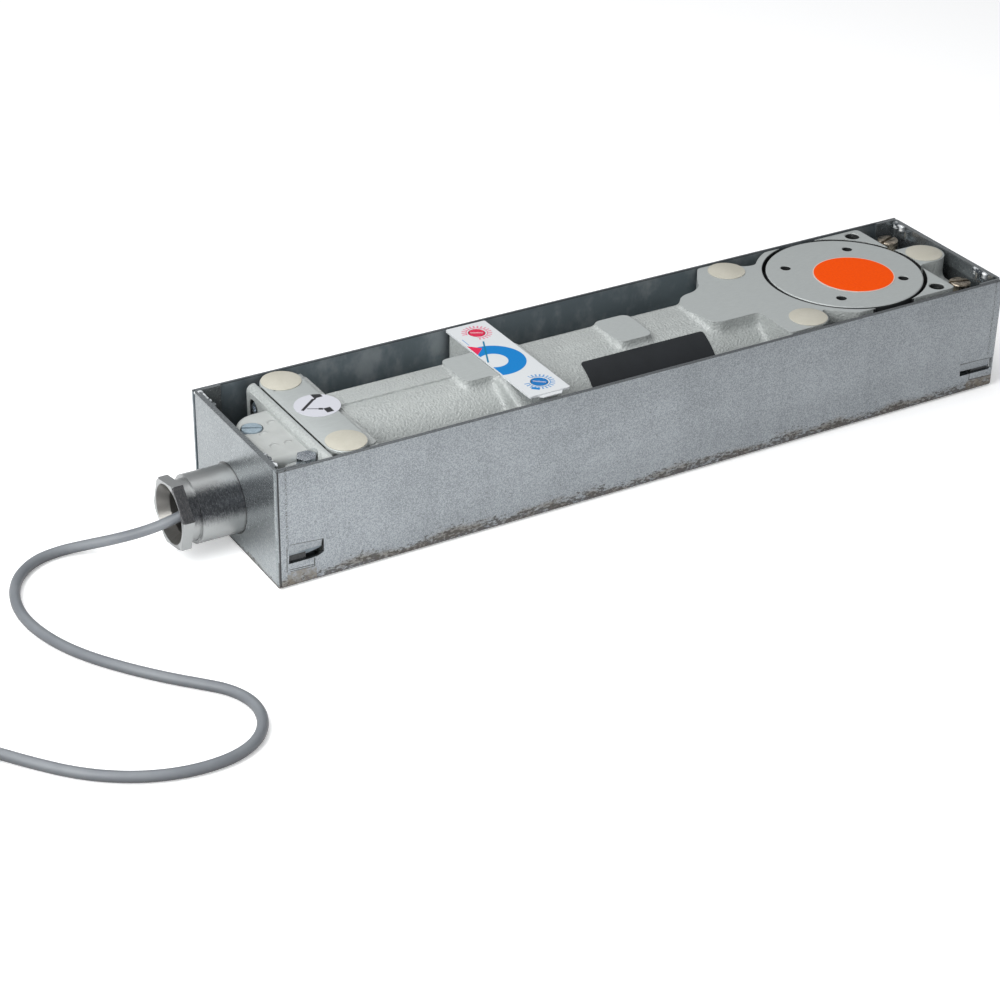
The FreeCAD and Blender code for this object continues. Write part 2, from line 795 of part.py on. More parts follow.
def closer_housing():
    rib = block(case_left, neck_left + rib_far - rib_near, rib_near, rib_far,
                bore_z + bore_radius, rib_top)
    body = barrel().fuse([rib, head_block(), far_web(), near_web()])
    body = body.fuse([ridge_pad(ridge_a), ridge_pad(ridge_b)])
    recess_z = case_top - plate_sink
    plate_half = plate_width / 2
    cuts = [
        post(0, 0, disc_radius + groove_width, disc_base, case_top + over),
        post(0, 0, spigot_radius, spigot_base, disc_base + over),
        post(0, 0, cavity_radius, cavity_floor, spigot_base + over),
        post(0, 0, pivot_radius + bearing_wall, pivot_base, cavity_floor + over),
        bar(0, bore_z, bore_radius, case_left - over, 0),
        bar(0, bore_z, cap_thread_radius, case_left - over, cap_front),
        bar(0, bore_z, bore_radius + clip_depth, clip_back, seat_back),
        block(plate_mid_x - plate_half - plate_side_gap, plate_mid_x + plate_half + plate_side_gap,
              wall_near, wall_far, recess_z, case_top + over),
    ]
    for y in (valve_far_y, valve_near_y):
        cuts.append(post(valve_x, y, valve_head_radius + running_fit,
                         recess_z - valve_head_length, recess_z + over))
        cuts.append(post(valve_x, y, valve_stem_radius + running_fit,
                         recess_z - valve_head_length - valve_stem_length, recess_z))
        cuts.append(ring_groove(y))
        cuts.append(Part.makeCylinder(duct_radius, abs(y), vec(valve_x, 0, recess_z - valve_stem_length),
                                      vec(0, math.copysign(1, y), 0)))
    for y in (-ear_hole_y, ear_hole_y):
        cuts.append(post(ear_hole_x, y, ear_hole_radius, case_top - ear_hole_depth,
                         case_top + over))
        cuts.append(Part.makeCone(ear_hole_radius, ear_hole_radius + 2 * ear_countersink,
                                  2 * ear_countersink,
                                  vec(ear_hole_x, y, case_top - ear_countersink), vec(0, 0, 1)))
        cuts.append(post(fixing_x, fixing_shift_y + math.copysign(fixing_y, y),
                         fixing_shank_radius + body_gap, 0, case_foot_top + over))
        cuts.append(post(0, math.copysign(levelling_y, y), levelling_radius + seat_fit, 0,
                         case_base + levelling_hold))
        cuts.append(post(levelling_left_x, math.copysign(levelling_left_y, y),
                         levelling_radius + seat_fit, 0, case_base + levelling_hold))
    for y in (bolt_near_y, bolt_far_y):
        cuts.append(bar(y, bolt_z, bolt_shank_radius + seat_fit, case_left - over,
                        case_left + bolt_thread_length))
    return body.cut(cuts).removeSplitter()


def ring_groove(y):
    """Room for the rubber ring on a regulating valve's stem."""
    return Part.makeTorus(valve_stem_radius + valve_ring_radius / 2, valve_ring_radius + running_fit,
                          vec(valve_x, y, valve_ring_z), vec(0, 0, 1))


# Cover disc, bearings and spindle

def spanner_places():
    ring = spanner_pcd / 2
    angles = [math.radians(spanner_turn + 90 * k) for k in range(4)]
    return [(ring * math.cos(a), ring * math.sin(a)) for a in angles]


def cover_disc():
    disc = post(0, 0, disc_radius, disc_base, case_top)
    rim = [e for e in disc.Edges if abs(e.BoundBox.ZMin - case_top) < tiny]
    disc = disc.makeChamfer(case_chamfer, rim)
    disc = disc.fuse(post(0, 0, spigot_radius - seat_fit, spigot_base, disc_base))
    seat = journal_radius + bearing_wall
    seal_top = spigot_base + upper_bearing_length + lip_seal_length
    cuts = [post(0, 0, disc_mouth_radius, spigot_base - over, case_top + over),
            post(0, 0, seat, spigot_base - over, seal_top)]
    for x, y in spanner_places():
        cuts.append(post(x, y, spanner_radius, case_top - spanner_depth, case_top + over))
    cuts.append(disc_ring(seat_fit))
    return disc.cut(cuts).removeSplitter()


def disc_ring(play):
    """The rubber ring round the disc's spigot, or its groove where play is given."""
    return Part.makeTorus(spigot_radius - disc_ring_section, disc_ring_section + play,
                          vec(0, 0, disc_base - disc_ring_drop), vec(0, 0, 1))


def cam_point(angle):
    """The cam's edge where the roller rests after a turn by this angle from the notch."""
    rise = lift / math.radians(cam_turn)
    offset = roller_radius + body_gap
    reach = roller_start + rise * angle
    slope = math.atan2(rise, reach)
    x = reach * math.cos(angle) - offset * math.cos(angle - slope)
    y = reach * math.sin(angle) - offset * math.sin(angle - slope)
    return vec(-x, y, 0)


def cam_outline():
    """Heart-shaped cam: the roller centre's distance grows evenly with the angle."""
    offset = roller_radius + body_gap
    low = math.radians(cam_turn)
    high = math.pi
    for _ in range(40):
        last_angle = (low + high) / 2
        if cam_point(last_angle).y > 0:
            low = last_angle
        else:
            high = last_angle
    upper = [cam_point(low * k / cam_steps) for k in range(cam_steps)]
    tip = cam_point(low)
    upper.append(vec(tip.x, 0, 0))
    lower = [vec(p.x, -p.y, 0) for p in reversed(upper)]
    side_a = Part.BSplineCurve()
    side_a.interpolate(upper)
    side_b = Part.BSplineCurve()
    side_b.interpolate(lower)
    notch_mid = vec(-(roller_start - offset), 0, 0)
    notch = Part.Arc(upper[0], notch_mid, lower[-1]).toShape()
    return Part.Face(Part.Wire([side_a.toShape(), side_b.toShape(), notch]))


def cam_shaft():
    face = cam_outline()
    face.translate(vec(0, 0, cam_low))
    cam = face.extrude(vec(0, 0, cam_thickness))
    shaft = post(0, 0, pivot_radius, pivot_base + body_gap, cavity_floor)
    shaft = shaft.fuse([post(0, 0, shaft_mid_radius, cavity_floor, spigot_base), cam,
                        post(0, 0, journal_radius, spigot_base, shaft_top)])
    wide = socket_width / 2
    narrow = (socket_width - socket_taper) / 2
    floor_z = shaft_top - socket_depth
    lower = Part.makePolygon([vec(a * narrow, b * narrow, floor_z)
                              for a, b in ((1, 1), (-1, 1), (-1, -1), (1, -1), (1, 1))])
    upper = Part.makePolygon([vec(a * wide, b * wide, shaft_top)
                              for a, b in ((1, 1), (-1, 1), (-1, -1), (1, -1), (1, 1))])
    socket = Part.makeLoft([lower, upper], True, True)
    thread = post(0, 0, spindle_thread_radius, floor_z - spindle_thread_depth, floor_z + over)
    return shaft.removeSplitter().cut([socket, thread])


def roller_carriage():
    """Fork that straddles the cam, on the front of the spring piston."""
    radius = bore_radius - running_fit
    body = bar(0, bore_z, radius, carriage_back, carriage_front)
    seal_x = carriage_back + carriage_seal_place
    groove = tube_x(0, bore_z, radius + over, radius - seal_depth, seal_x, seal_x + seal_width)
    pieces = []
    for z0 in (cheek_low, cheek_high - cheek_thickness):
        arm = block(carriage_front - over, -roller_start, -cheek_half_width, cheek_half_width, z0,
                    z0 + cheek_thickness)
        tip = post(-roller_start, 0, cheek_half_width - cheek_nose, z0, z0 + cheek_thickness)
        pieces += [arm, tip]
    body = body.fuse(pieces).removeSplitter()
    pin_hole = post(-roller_start, 0, pin_radius + seat_fit, 0, case_top)
    rod_hole = bar(0, bore_z, rod_radius + seat_fit, carriage_back - over, carriage_back + rod_hold)
    spigot_room = post(0, 0, spigot_radius + body_gap, spigot_base - body_gap, case_top)
    return body.cut([groove, pin_hole, rod_hole, spigot_room])


def piston_seal(x0):
    radius = bore_radius - running_fit
    return tube_x(0, bore_z, radius, radius - seal_depth, x0, x0 + seal_width)


def damping_piston():
    radius = bore_radius - running_fit
    body = bar(0, bore_z, radius, damper_back, damper_front)
    seal_x = damper_back + damper_seal_place
    groove = tube_x(0, bore_z, radius + over, radius - seal_depth, seal_x, seal_x + seal_width)
    rod_hole = bar(0, bore_z, rod_radius + seat_fit, damper_front - rod_hold, damper_front + over)
    z = bore_z + ball_offset
    port = bar(0, z, ball_port_radius, damper_back - over, damper_front + over)
    cage = bar(0, z, ball_radius + running_fit, damper_back - over, damper_back + ball_seat_depth)
    return body.cut([groove, rod_hole, port, cage])


def main_spring():
    """Compression spring between the carriage and the seat ring."""
    margin = wire_radius + body_gap
    length = spring_length - 2 * margin
    pitch = length / spring_turns
    helix = Part.makeHelix(pitch, length, spring_mean_radius)
    ring = Part.Wire(Part.makeCircle(wire_radius, vec(spring_mean_radius, 0, 0), vec(0, 1, 0)))
    spring = Part.Wire(helix).makePipeShell([ring], True, True)
    spring.rotate(vec(0, 0, 0), vec(0, 1, 0), 90)
    spring.translate(vec(seat_front + margin, 0, bore_z))
    return spring


def end_cap():
    plug = bar(0, bore_z, cap_thread_radius - seat_fit, case_left, cap_front)
    key = hexagon_x(0, bore_z, cap_key_flats, case_left - over, case_left + cap_key_depth)
    port = bar(0, bore_z, port_radius, case_left - over, cap_front + over)
    seal_x = cap_front - cap_seal_place
    groove = tube_x(0, bore_z, cap_thread_radius + over, cap_thread_radius - seal_depth,
                    seal_x - seal_width, seal_x)
    return plug.cut([key, port, groove])


def regulating_valve(y, slot_angle):
    """Slotted screw that throttles the oil, flush with the instruction plate."""
    recess_z = case_top - plate_sink
    top = recess_z + plate_thickness
    head = post(valve_x, y, valve_head_radius, recess_z - valve_head_length + body_gap, top)
    slot = block(-valve_head_radius - over, valve_head_radius + over, -valve_slot_width / 2,
                 valve_slot_width / 2, top - valve_slot_depth, top + over)
    slot.rotate(vec(0, 0, 0), vec(0, 0, 1), slot_angle)
    slot.translate(vec(valve_x, y, 0))
    tip_z = recess_z - valve_head_length - valve_stem_length + body_gap
    stem = post(valve_x, y, valve_stem_radius, tip_z + valve_tip_length,
                recess_z - valve_head_length + 2 * body_gap)
    tip = Part.makeCone(valve_tip_radius, valve_stem_radius, valve_tip_length,
                        vec(valve_x, y, tip_z), vec(0, 0, 1))
    ring = Part.makeTorus(valve_stem_radius + valve_ring_radius / 2, valve_ring_radius,
                          vec(valve_x, y, valve_ring_z), vec(0, 0, 1))
    return head.cut(slot).fuse([stem, tip]).cut(ring).removeSplitter(), ring


def instruction_plate():
    base = case_top - plate_sink
    half = plate_width / 2
    plate = round_rect(plate_mid_x - half, plate_mid_x + half, plate_near, plate_far, base,
                       base + plate_thickness, plate_corner)
    wide = plate_lip_width / 2
    narrow = wide - plate_lip_taper
    lip = slab([(plate_mid_x - wide, plate_near + plate_corner),
                (plate_mid_x + wide, plate_near + plate_corner),
                (plate_mid_x + narrow, plate_near - plate_lip_length),
                (plate_mid_x - narrow, plate_near - plate_lip_length)],
               base, base + plate_thickness / 2)
    holes = [post(valve_x, y, valve_head_radius + plate_hole_gap, base - over, case_top + over)
             for y in (valve_far_y, valve_near_y)]
    return plate.fuse(lip).cut(holes).removeSplitter()


def type_label():
    """Bare label that follows the round slope of the barrel."""
    inner = barrel_half_width + label_gap
    outer = inner + label_thickness
    pts = []
    for radius in (inner, outer):
        for turn in (label_top_turn, (label_top_turn + label_low_turn) / 2, label_low_turn):
            a = math.radians(turn)
            pts.append(vec(0, -radius * math.sin(a), arch_z + radius * math.cos(a)))
    edges = [Part.Arc(pts[0], pts[1], pts[2]).toShape(), Part.LineSegment(pts[2], pts[5]).toShape(),
             Part.Arc(pts[5], pts[4], pts[3]).toShape(), Part.LineSegment(pts[3], pts[0]).toShape()]
    face = Part.Face(Part.Wire(edges))
    face.translate(vec(label_x0, 0, 0))
    label = face.extrude(vec(label_x1 - label_x0, 0, 0))
    corners = [e for e in label.Edges if e.Length < label_thickness + tiny]
    return label.makeFillet(label_corner, corners)


# Hold-open unit

def unit_housing():
    """Casting of the hold-open unit, with its shoulder along the bridge and its foot."""
    top = bridge_base
    body = round_rect(unit_left, case_left, unit_near, unit_far, case_base, top, unit_corner)
    shoulder = block(unit_left, unit_left + shoulder_width, wall_near + body_gap, unit_far + over,
                     top - shoulder_height, box_height - rim_gap)
    edge = [e for e in shoulder.Edges
            if abs(e.BoundBox.XMax - unit_left) < tiny and e.BoundBox.YLength > unit_corner
            and e.BoundBox.ZMin > top - over]
    shoulder = shoulder.makeFillet(unit_shoulder, edge)
    lip = block(bridge_right - over, case_left, lip_near, lip_far,
                top - lip_drop - lip_thickness, top - lip_drop)
    foot = round_rect(unit_left - foot_reach, unit_left + unit_corner - over, unit_foot_near,
                      unit_foot_far, foot_top - foot_plate, foot_top, unit_corner)
    body = body.fuse([shoulder, foot, lip])
    coil_right = case_left - coil_inset
    cuts = [bar(0, bore_z, coil_radius + body_gap, coil_right - coil_length, coil_right),
            bar(0, bore_z, armature_radius + armature_room, coil_right - over, case_left + over),
            post(unit_foot_screw_x, unit_foot_screw_y, foot_shank_radius + body_gap,
                 foot_top - foot_plate - over, foot_top + over)]
    for y in (bolt_near_y, bolt_far_y):
        cuts.append(bar(y, bolt_z, bolt_shank_radius + seat_fit, unit_left - over,
                        case_left + over))
        cuts.append(bar(y, bolt_z, bolt_head_radius + bolt_head_play, unit_left - over,
                        unit_left + bolt_head_length + bolt_sink))
    seat_x = unit_left + yoke_head_sink + yoke_head_length
    for y, z in yoke_screw_places:
        window = yoke_head_radius + bolt_head_play
        cuts.append(bar(y, z, window, unit_left - over, seat_x))
        cuts.append(block(unit_left - over, seat_x, y - window, y + window, z - yoke_window_down, z))
        cuts.append(bar(y, z, yoke_shank_radius + seat_fit, seat_x - over,
                        seat_x + yoke_shank_length + over))
    cuts.append(post(unit_foot_screw_x, unit_foot_screw_y, foot_washer_radius + 2 * body_gap,
                     foot_top, box_height))
    return body.cut(cuts).removeSplitter()


def unit_bolt(y):
    head_left = unit_left + bolt_sink
    head = bar(y, bolt_z, bolt_head_radius, head_left, head_left + bolt_head_length)
    key = hexagon_x(y, bolt_z, bolt_key_flats, head_left - over, head_left + bolt_key_depth)
    shank = bar(y, bolt_z, bolt_shank_radius, head_left + bolt_head_length,
                case_left + bolt_thread_length - over)
    return head.fuse(shank).removeSplitter().cut(key)


def yoke_screw(y, z):
    """Socket screw that shows in an arched opening of the shoulder."""
    head_left = unit_left + yoke_head_sink
    head_right = head_left + yoke_head_length
    head = bar(y, z, yoke_head_radius, head_left, head_right)
    key = hexagon_x(y, z, bolt_key_flats, head_left - over, head_left + bolt_key_depth)
    shank = bar(y, z, yoke_shank_radius, head_right, head_right + yoke_shank_length)
    return head.fuse(shank).removeSplitter().cut(key)


def coil_parts():
    """Bobbin, winding, pole and armature of the solenoid that shuts the oil way."""
    right = case_left - coil_inset - body_gap
    left = right - coil_length + 2 * body_gap
    hole = armature_radius + running_fit
    bobbin = tube_x(0, bore_z, hole + bobbin_wall, hole, left, right)
    for x in (left, right - bobbin_flange):
        bobbin = bobbin.fuse(tube_x(0, bore_z, coil_radius, hole, x, x + bobbin_flange))
    winding = tube_x(0, bore_z, coil_radius - bobbin_wall, hole + bobbin_wall + seat_fit,
                     left + bobbin_flange + winding_gap, right - bobbin_flange - winding_gap)
    armature_right = case_left - body_gap
    armature = bar(0, bore_z, armature_radius, armature_right - armature_tip - armature_length,
                   armature_right - armature_tip)
    tip = Part.makeCone(armature_radius, armature_tip_radius, armature_tip,
                        vec(armature_right - armature_tip, 0, bore_z), vec(1, 0, 0))
    armature = armature.fuse(tip).removeSplitter()
    pole_right = armature_right - armature_tip - armature_length - armature_travel - body_gap
    pole = bar(0, bore_z, armature_radius, left, pole_right)
    return bobbin.removeSplitter(), winding, armature, pole


def bridge_plate():
    return stadium_y(bridge_left, bridge_right, bridge_near, bridge_far, bridge_base, bridge_top)


def terminal_cover():
    """Moulded cover over the terminals, open below."""
    top = cover_top
    base = top - cover_height
    body = block(cover_left, unit_left, cover_near, cover_far, base, top)
    round_edge = [e for e in body.Edges
                  if e.BoundBox.ZLength > 5 and e.BoundBox.XMax < cover_left + tiny
                  and e.BoundBox.YMin > cover_far - tiny]
    body = body.makeFillet(cover_corner, round_edge)
    near_edge = [e for e in body.Edges
                 if e.BoundBox.ZLength > 5 and e.BoundBox.XMax < cover_left + tiny
                 and e.BoundBox.YMax < cover_near + tiny]
    body = body.makeFillet(cover_near_corner, near_edge)
    top_edges = [e for e in body.Edges
                 if e.BoundBox.ZMin > top - tiny and e.BoundBox.XMin < unit_left - tiny]
    body = body.makeFillet(cover_edge, top_edges)
    hollow = block(cover_left + cover_wall, unit_left - cover_wall, cover_near + cover_wall,
                   cover_screw_y - cover_screw_head - cover_wall, base - over, top - cover_roof)
    recess = post(cover_screw_x, cover_screw_y, cover_screw_head + cover_screw_room,
                  top - cover_screw_thick, top + over)
    hole = post(cover_screw_x, cover_screw_y, cover_screw_shank + body_gap, base - over, top)
    return body.cut([hollow, recess, hole])


def terminal_places():
    pitch = (block_far - block_near) / terminal_count
    return [block_near + pitch * (k + 0.5) for k in range(terminal_count)]


def terminal_block():
    body = block(cover_left + cover_wall + body_gap, unit_left - cover_wall - body_gap,
                 block_near, block_far, terminal_top - block_height, terminal_top)
    return body.cut([post(terminal_x, y, terminal_radius, terminal_top - terminal_depth,
                          terminal_top + over) for y in terminal_places()])


def terminal_screws():
    return group([post(terminal_x, y, terminal_radius - terminal_play,
                       terminal_top - terminal_depth, terminal_top - terminal_sink)
                  for y in terminal_places()])


# Cable gland

def gland_sleeve():
    out = box_left - sleeve_length
    body = bar(gland_y, gland_z, sleeve_radius, out, box_left)
    body = body.fuse([bar(gland_y, gland_z, neck_radius, out - neck_length, out),
                      bar(gland_y, gland_z, spigot_thread_radius - seat_fit, box_left,
                          box_left + sheet + locknut_thickness)])
    body = body.removeSplitter()
    deep = box_left - seal_front
    cuts = [bar(gland_y, gland_z, sleeve_bore, out - neck_length - over, deep),
            bar(gland_y, gland_z, cord_radius + seal_wall, deep - over,
                box_left + sheet + locknut_thickness + over)]
    return body.cut(cuts)


def gland_nut():
    rear = box_left - sleeve_length - neck_length
    front = rear - nut_thickness
    nut = hexagon_x(gland_y, gland_z, nut_flats, front, rear, nut_turn)
    corner_reach = nut_flats / math.sqrt(3)
    trim = Part.makeCone(corner_reach - nut_chamfer, corner_reach + nut_thickness,
                         nut_thickness + nut_chamfer, vec(front, gland_y, gland_z), vec(1, 0, 0))
    mouth = Part.makeCone(nut_mouth_radius, sleeve_bore, nut_thickness, vec(front, gland_y, gland_z),
                          vec(1, 0, 0))
    return nut.common(trim).cut(mouth)


def gland_seal():
    """Rubber bush that grips the cord at the bottom of the sleeve."""
    deep = box_left - seal_front
    return tube_x(gland_y, gland_z, cord_radius + seal_wall - seat_fit, cord_radius + seat_fit,
                  deep, box_left + sheet)


# Everything is written below, one node at a time.

os.makedirs("parts", exist_ok=True)

save("box_channel", box_channel())
left_plate = end_plate(box_left, 1)
plate_hole = bar(gland_y, gland_z, spigot_thread_radius, box_left - over, box_left + sheet + over)
save("gland_end_plate", left_plate.cut(plate_hole))
save("spindle_end_plate", end_plate(box_right, -1))
save("closer_housing", closer_housing())
save("cover_disc", cover_disc())
save("disc_ring", disc_ring(0))
save("spindle_seal_sticker", post(sticker_shift_x, sticker_shift_y, sticker_radius, case_top,
                                  case_top + sticker_thickness))
save("cam_shaft", cam_shaft())
bearing_hole = journal_radius + running_fit
save("upper_bearing", tube_z(0, 0, journal_radius + bearing_wall - seat_fit, bearing_hole,
                             spigot_base, spigot_base + upper_bearing_length))
save("spindle_lip_seal", tube_z(0, 0, journal_radius + bearing_wall - seat_fit, bearing_hole,
                                spigot_base + upper_bearing_length + seal_bearing_gap,
                                spigot_base + upper_bearing_length + lip_seal_length))
save("lower_bearing", tube_z(0, 0, pivot_radius + bearing_wall - seat_fit,
                             pivot_radius + running_fit, pivot_base,
                             pivot_base + lower_bearing_length))
save("cam_roller", tube_z(-roller_start, 0, roller_radius, pin_radius + running_fit,
                          cam_low - cheek_play / 2, cam_high + cheek_play / 2))
save("roller_pin", post(-roller_start, 0, pin_radius, cheek_low, cheek_high))
save("roller_carriage", roller_carriage())
save("carriage_seal", piston_seal(carriage_back + carriage_seal_place))
save("piston_rod", bar(0, bore_z, rod_radius, damper_front - rod_hold + body_gap,
                       carriage_back + rod_hold - body_gap))
save("damping_piston", damping_piston())
save("damper_seal", piston_seal(damper_back + damper_seal_place))
ball_centre = vec(damper_back + ball_seat_depth - ball_radius, 0, bore_z + ball_offset)
save("check_ball", Part.makeSphere(ball_radius, ball_centre))
save("main_spring", main_spring())
save("spring_seat_ring", tube_x(0, bore_z, bore_radius - seat_fit, rod_radius + body_gap,
                                seat_back, seat_front))
save("seat_circlip", tube_x(0, bore_z, bore_radius + clip_depth - seat_fit,
                            bore_radius - 2 * clip_depth, clip_back, seat_back))
save("cylinder_end_cap", end_cap())
cap_seal_front = cap_front - cap_seal_place
save("end_cap_seal", tube_x(0, bore_z, cap_thread_radius - seat_fit,
                            cap_thread_radius - seal_depth, cap_seal_front - seal_width,
                            cap_seal_front))
closing_valve, closing_ring = regulating_valve(valve_far_y, -28.0)
latching_valve, latching_ring = regulating_valve(valve_near_y, -40.0)
save("closing_speed_valve", closing_valve)
save("closing_valve_ring", closing_ring)
save("latching_speed_valve", latching_valve)
save("latching_valve_ring", latching_ring)
save("instruction_plate", instruction_plate())
save("type_label", type_label())
save("hold_open_housing", unit_housing())
save("bridge_plate", bridge_plate())
bridge_mid = (bridge_left + bridge_right) / 2
pad_places = [(lug_x - pad_shift, lug_shift_y, case_top), (*head_pad_far, case_top),
              (*head_pad_near, case_top)]
pad_places += [(bridge_mid, y, bridge_top) for y in bridge_pad_y]
save("cover_pads", group([post(x, y, pad_radius, z, z + pad_thickness) for x, y, z in pad_places]))
save("pictogram_sticker", post(picto_x, picto_y, picto_radius, bridge_top,
                               bridge_top + picto_thickness))
save("unit_bolts", group([unit_bolt(bolt_near_y), unit_bolt(bolt_far_y)]
                         + [yoke_screw(y, z) for y, z in yoke_screw_places]))
bobbin, winding, armature, pole = coil_parts()
save("coil_bobbin", bobbin)
save("coil_winding", winding)
save("valve_armature", armature)
save("pole_core", pole)
save("terminal_cover", terminal_cover())
save("terminal_block", terminal_block())
save("terminal_screws", terminal_screws())
screw_base = cover_top - cover_screw_thick
save("cover_screw", slotted_head(cover_screw_x, cover_screw_y, cover_screw_head, screw_base,
                                 cover_top + cover_screw_rise, cover_screw_turn)
     .fuse(post(cover_screw_x, cover_screw_y, cover_screw_shank, cover_top - cover_height,
                screw_base)).removeSplitter())
save("foot_screw", hexagon_z(unit_foot_screw_x, unit_foot_screw_y, hex_flats,
                             foot_top + washer_thickness,
                             foot_top + washer_thickness + hex_height, foot_screw_turn)
     .fuse(post(unit_foot_screw_x, unit_foot_screw_y, foot_shank_radius,
                foot_base - fixing_thread_length, foot_top + washer_thickness)).removeSplitter())

screws = []
pillars = []
screw_washers = [tube_z(unit_foot_screw_x, unit_foot_screw_y, foot_washer_radius,
                        foot_shank_radius + body_gap, foot_top, foot_top + washer_thickness)]
for side in (-1, 1):
    y = fixing_shift_y + side * fixing_y
    head_base = case_foot_top + washer_thickness
    head = slotted_head(fixing_x, y, fixing_head_radius, head_base,
                        head_base + fixing_head_height, fixing_slot_turn * side)
    shank = post(fixing_x, y, fixing_shank_radius, case_foot_base - fixing_thread_length, head_base)
    screws.append(head.fuse(shank).removeSplitter())
    screw_washers.append(tube_z(fixing_x, y, washer_radius, fixing_shank_radius + body_gap,
                                case_foot_top, head_base))
    pillars.append(post(fixing_x, y, pillar_radius, sheet, case_foot_base)
                   .cut(post(fixing_x, y, fixing_shank_radius + seat_fit,
                             case_foot_base - fixing_thread_length - over,
                             case_foot_base + over)))
pillars.append(post(unit_foot_screw_x, unit_foot_screw_y, foot_pillar_radius, sheet, foot_base)
               .cut(post(unit_foot_screw_x, unit_foot_screw_y, foot_shank_radius + seat_fit,
                         foot_base - fixing_thread_length - over, foot_base + over)))
save("fixing_screws", group(screws))
save("fixing_washers", group(screw_washers))
save("box_pillars", group(pillars))
levelling = []
for x, y in ((0, -levelling_y), (0, levelling_y), (levelling_left_x, -levelling_left_y),
             (levelling_left_x, levelling_left_y)):
    levelling.append(post(x, y, levelling_radius, sheet,
                          case_base + levelling_hold - levelling_reserve))
save("levelling_screws", group(levelling))

save("gland_sleeve", gland_sleeve())
save("gland_locknut", hexagon_x(gland_y, gland_z, locknut_flats, box_left + sheet,
                                box_left + sheet + locknut_thickness)
     .cut(bar(gland_y, gland_z, spigot_thread_radius, box_left,
              box_left + sheet + locknut_thickness + over)))
save("gland_nut", gland_nut())
save("gland_seal", gland_seal())

save("inner_lead", cord_tube(lead_corners, cord_radius, "inner lead"))

# Cord: the free tube, the put-away coil, its tail and the stripped cores
coil_x, coil_y = cord_coil_centre
strand = 2 * cord_radius
coil_half = cord_coil_layers * cord_radius
coil_out = cord_coil_mean_radius + coil_half
coil_in = cord_coil_mean_radius - coil_half
coil = tube_z(coil_x, coil_y, coil_out, coil_in, 0, cord_coil_layers * strand)
rims = [e for e in coil.Edges if e.BoundBox.ZLength < tiny]
coil = coil.makeFillet(cord_radius * 0.8, rims)
tube = cord_tube(cord_route, cord_radius, "cord")
tube = tube.cut(coil)
save("cord_tube", tube)
save("cord_coil", coil)
tail_x = coil_x - cord_coil_mean_radius - strand
tail = Part.makeCylinder(cord_radius, tail_length, vec(tail_x, coil_y, cord_radius), vec(0, -1, 0))
tail = max(tail.cut(coil).Solids, key=lambda s: s.Volume)
save("cord_tail", tail)
cores = []
for k in range(4):
    across = (k % 2 - 0.5) * core_spacing
    up = (k // 2 - 0.5) * core_spacing
    cores.append(Part.makeCylinder(core_radius, core_length,
                                   vec(tail_x + across, coil_y - tail_length, cord_radius + up),
                                   vec(0, -1, 0)))
save("cord_cores", group(cores))
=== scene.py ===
"""Floor spring door closer in its cement box: finishes, control cord and modelled details.

Every size in this file is in millimetres in the row's own frame, and turns into metres where a
mesh, a curve or a lamp is made. X runs towards the spindle end, Y to the far wall, Z up.
"""

import json
import logging
import math
from contextlib import contextmanager
from dataclasses import dataclass
from enum import Enum
from functools import reduce
from typing import Callable, Iterator, Optional, Sequence, Union

import bmesh
import bpy
from mathutils import Matrix, Vector

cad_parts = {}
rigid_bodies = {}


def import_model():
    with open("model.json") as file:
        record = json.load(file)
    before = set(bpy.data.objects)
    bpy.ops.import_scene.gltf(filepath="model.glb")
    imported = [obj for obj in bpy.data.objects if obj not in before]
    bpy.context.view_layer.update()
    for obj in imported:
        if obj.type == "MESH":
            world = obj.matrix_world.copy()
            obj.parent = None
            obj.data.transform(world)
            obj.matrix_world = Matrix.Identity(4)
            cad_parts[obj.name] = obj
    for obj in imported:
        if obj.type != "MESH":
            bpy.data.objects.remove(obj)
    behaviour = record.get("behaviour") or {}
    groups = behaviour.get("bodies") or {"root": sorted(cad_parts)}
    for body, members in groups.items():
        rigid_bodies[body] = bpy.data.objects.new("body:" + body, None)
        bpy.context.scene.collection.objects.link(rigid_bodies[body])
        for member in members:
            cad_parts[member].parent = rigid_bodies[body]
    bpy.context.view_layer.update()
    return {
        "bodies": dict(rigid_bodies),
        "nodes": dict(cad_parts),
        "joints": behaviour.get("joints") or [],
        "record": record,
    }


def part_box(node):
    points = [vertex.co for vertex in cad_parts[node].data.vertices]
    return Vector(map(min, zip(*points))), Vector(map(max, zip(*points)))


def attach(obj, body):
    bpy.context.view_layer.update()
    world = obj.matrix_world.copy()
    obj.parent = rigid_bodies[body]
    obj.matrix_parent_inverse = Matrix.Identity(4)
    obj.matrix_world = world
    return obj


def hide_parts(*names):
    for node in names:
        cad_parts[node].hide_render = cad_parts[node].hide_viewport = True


MM = 0.001
LOG = logging.getLogger("closer")
Triple = tuple[float, float, float]
Pair = tuple[float, float]


class Slot(Enum):
    """The record's material slots."""

    SHEET = "galvanised_steel"
    CAST = "cast_alloy"
    STEEL = "hardened_steel"
    ZINC = "zinc_steel"
    BRONZED = "bronzed_steel"
    NICKEL = "nickel_brass"
    COPPER = "copper_winding"
    PAD = "cream_pad"
    ORANGE = "orange_print"
    WHITE = "white_print"
    LABEL = "label_black"
    LILAC = "lilac_print"
    RED = "red_screw"
    BLUE = "blue_screw"
    PLASTIC = "cover_plastic"
    RUBBER = "seal_rubber"
    CORD = "cord_grey"
    CORES = "core_copper"


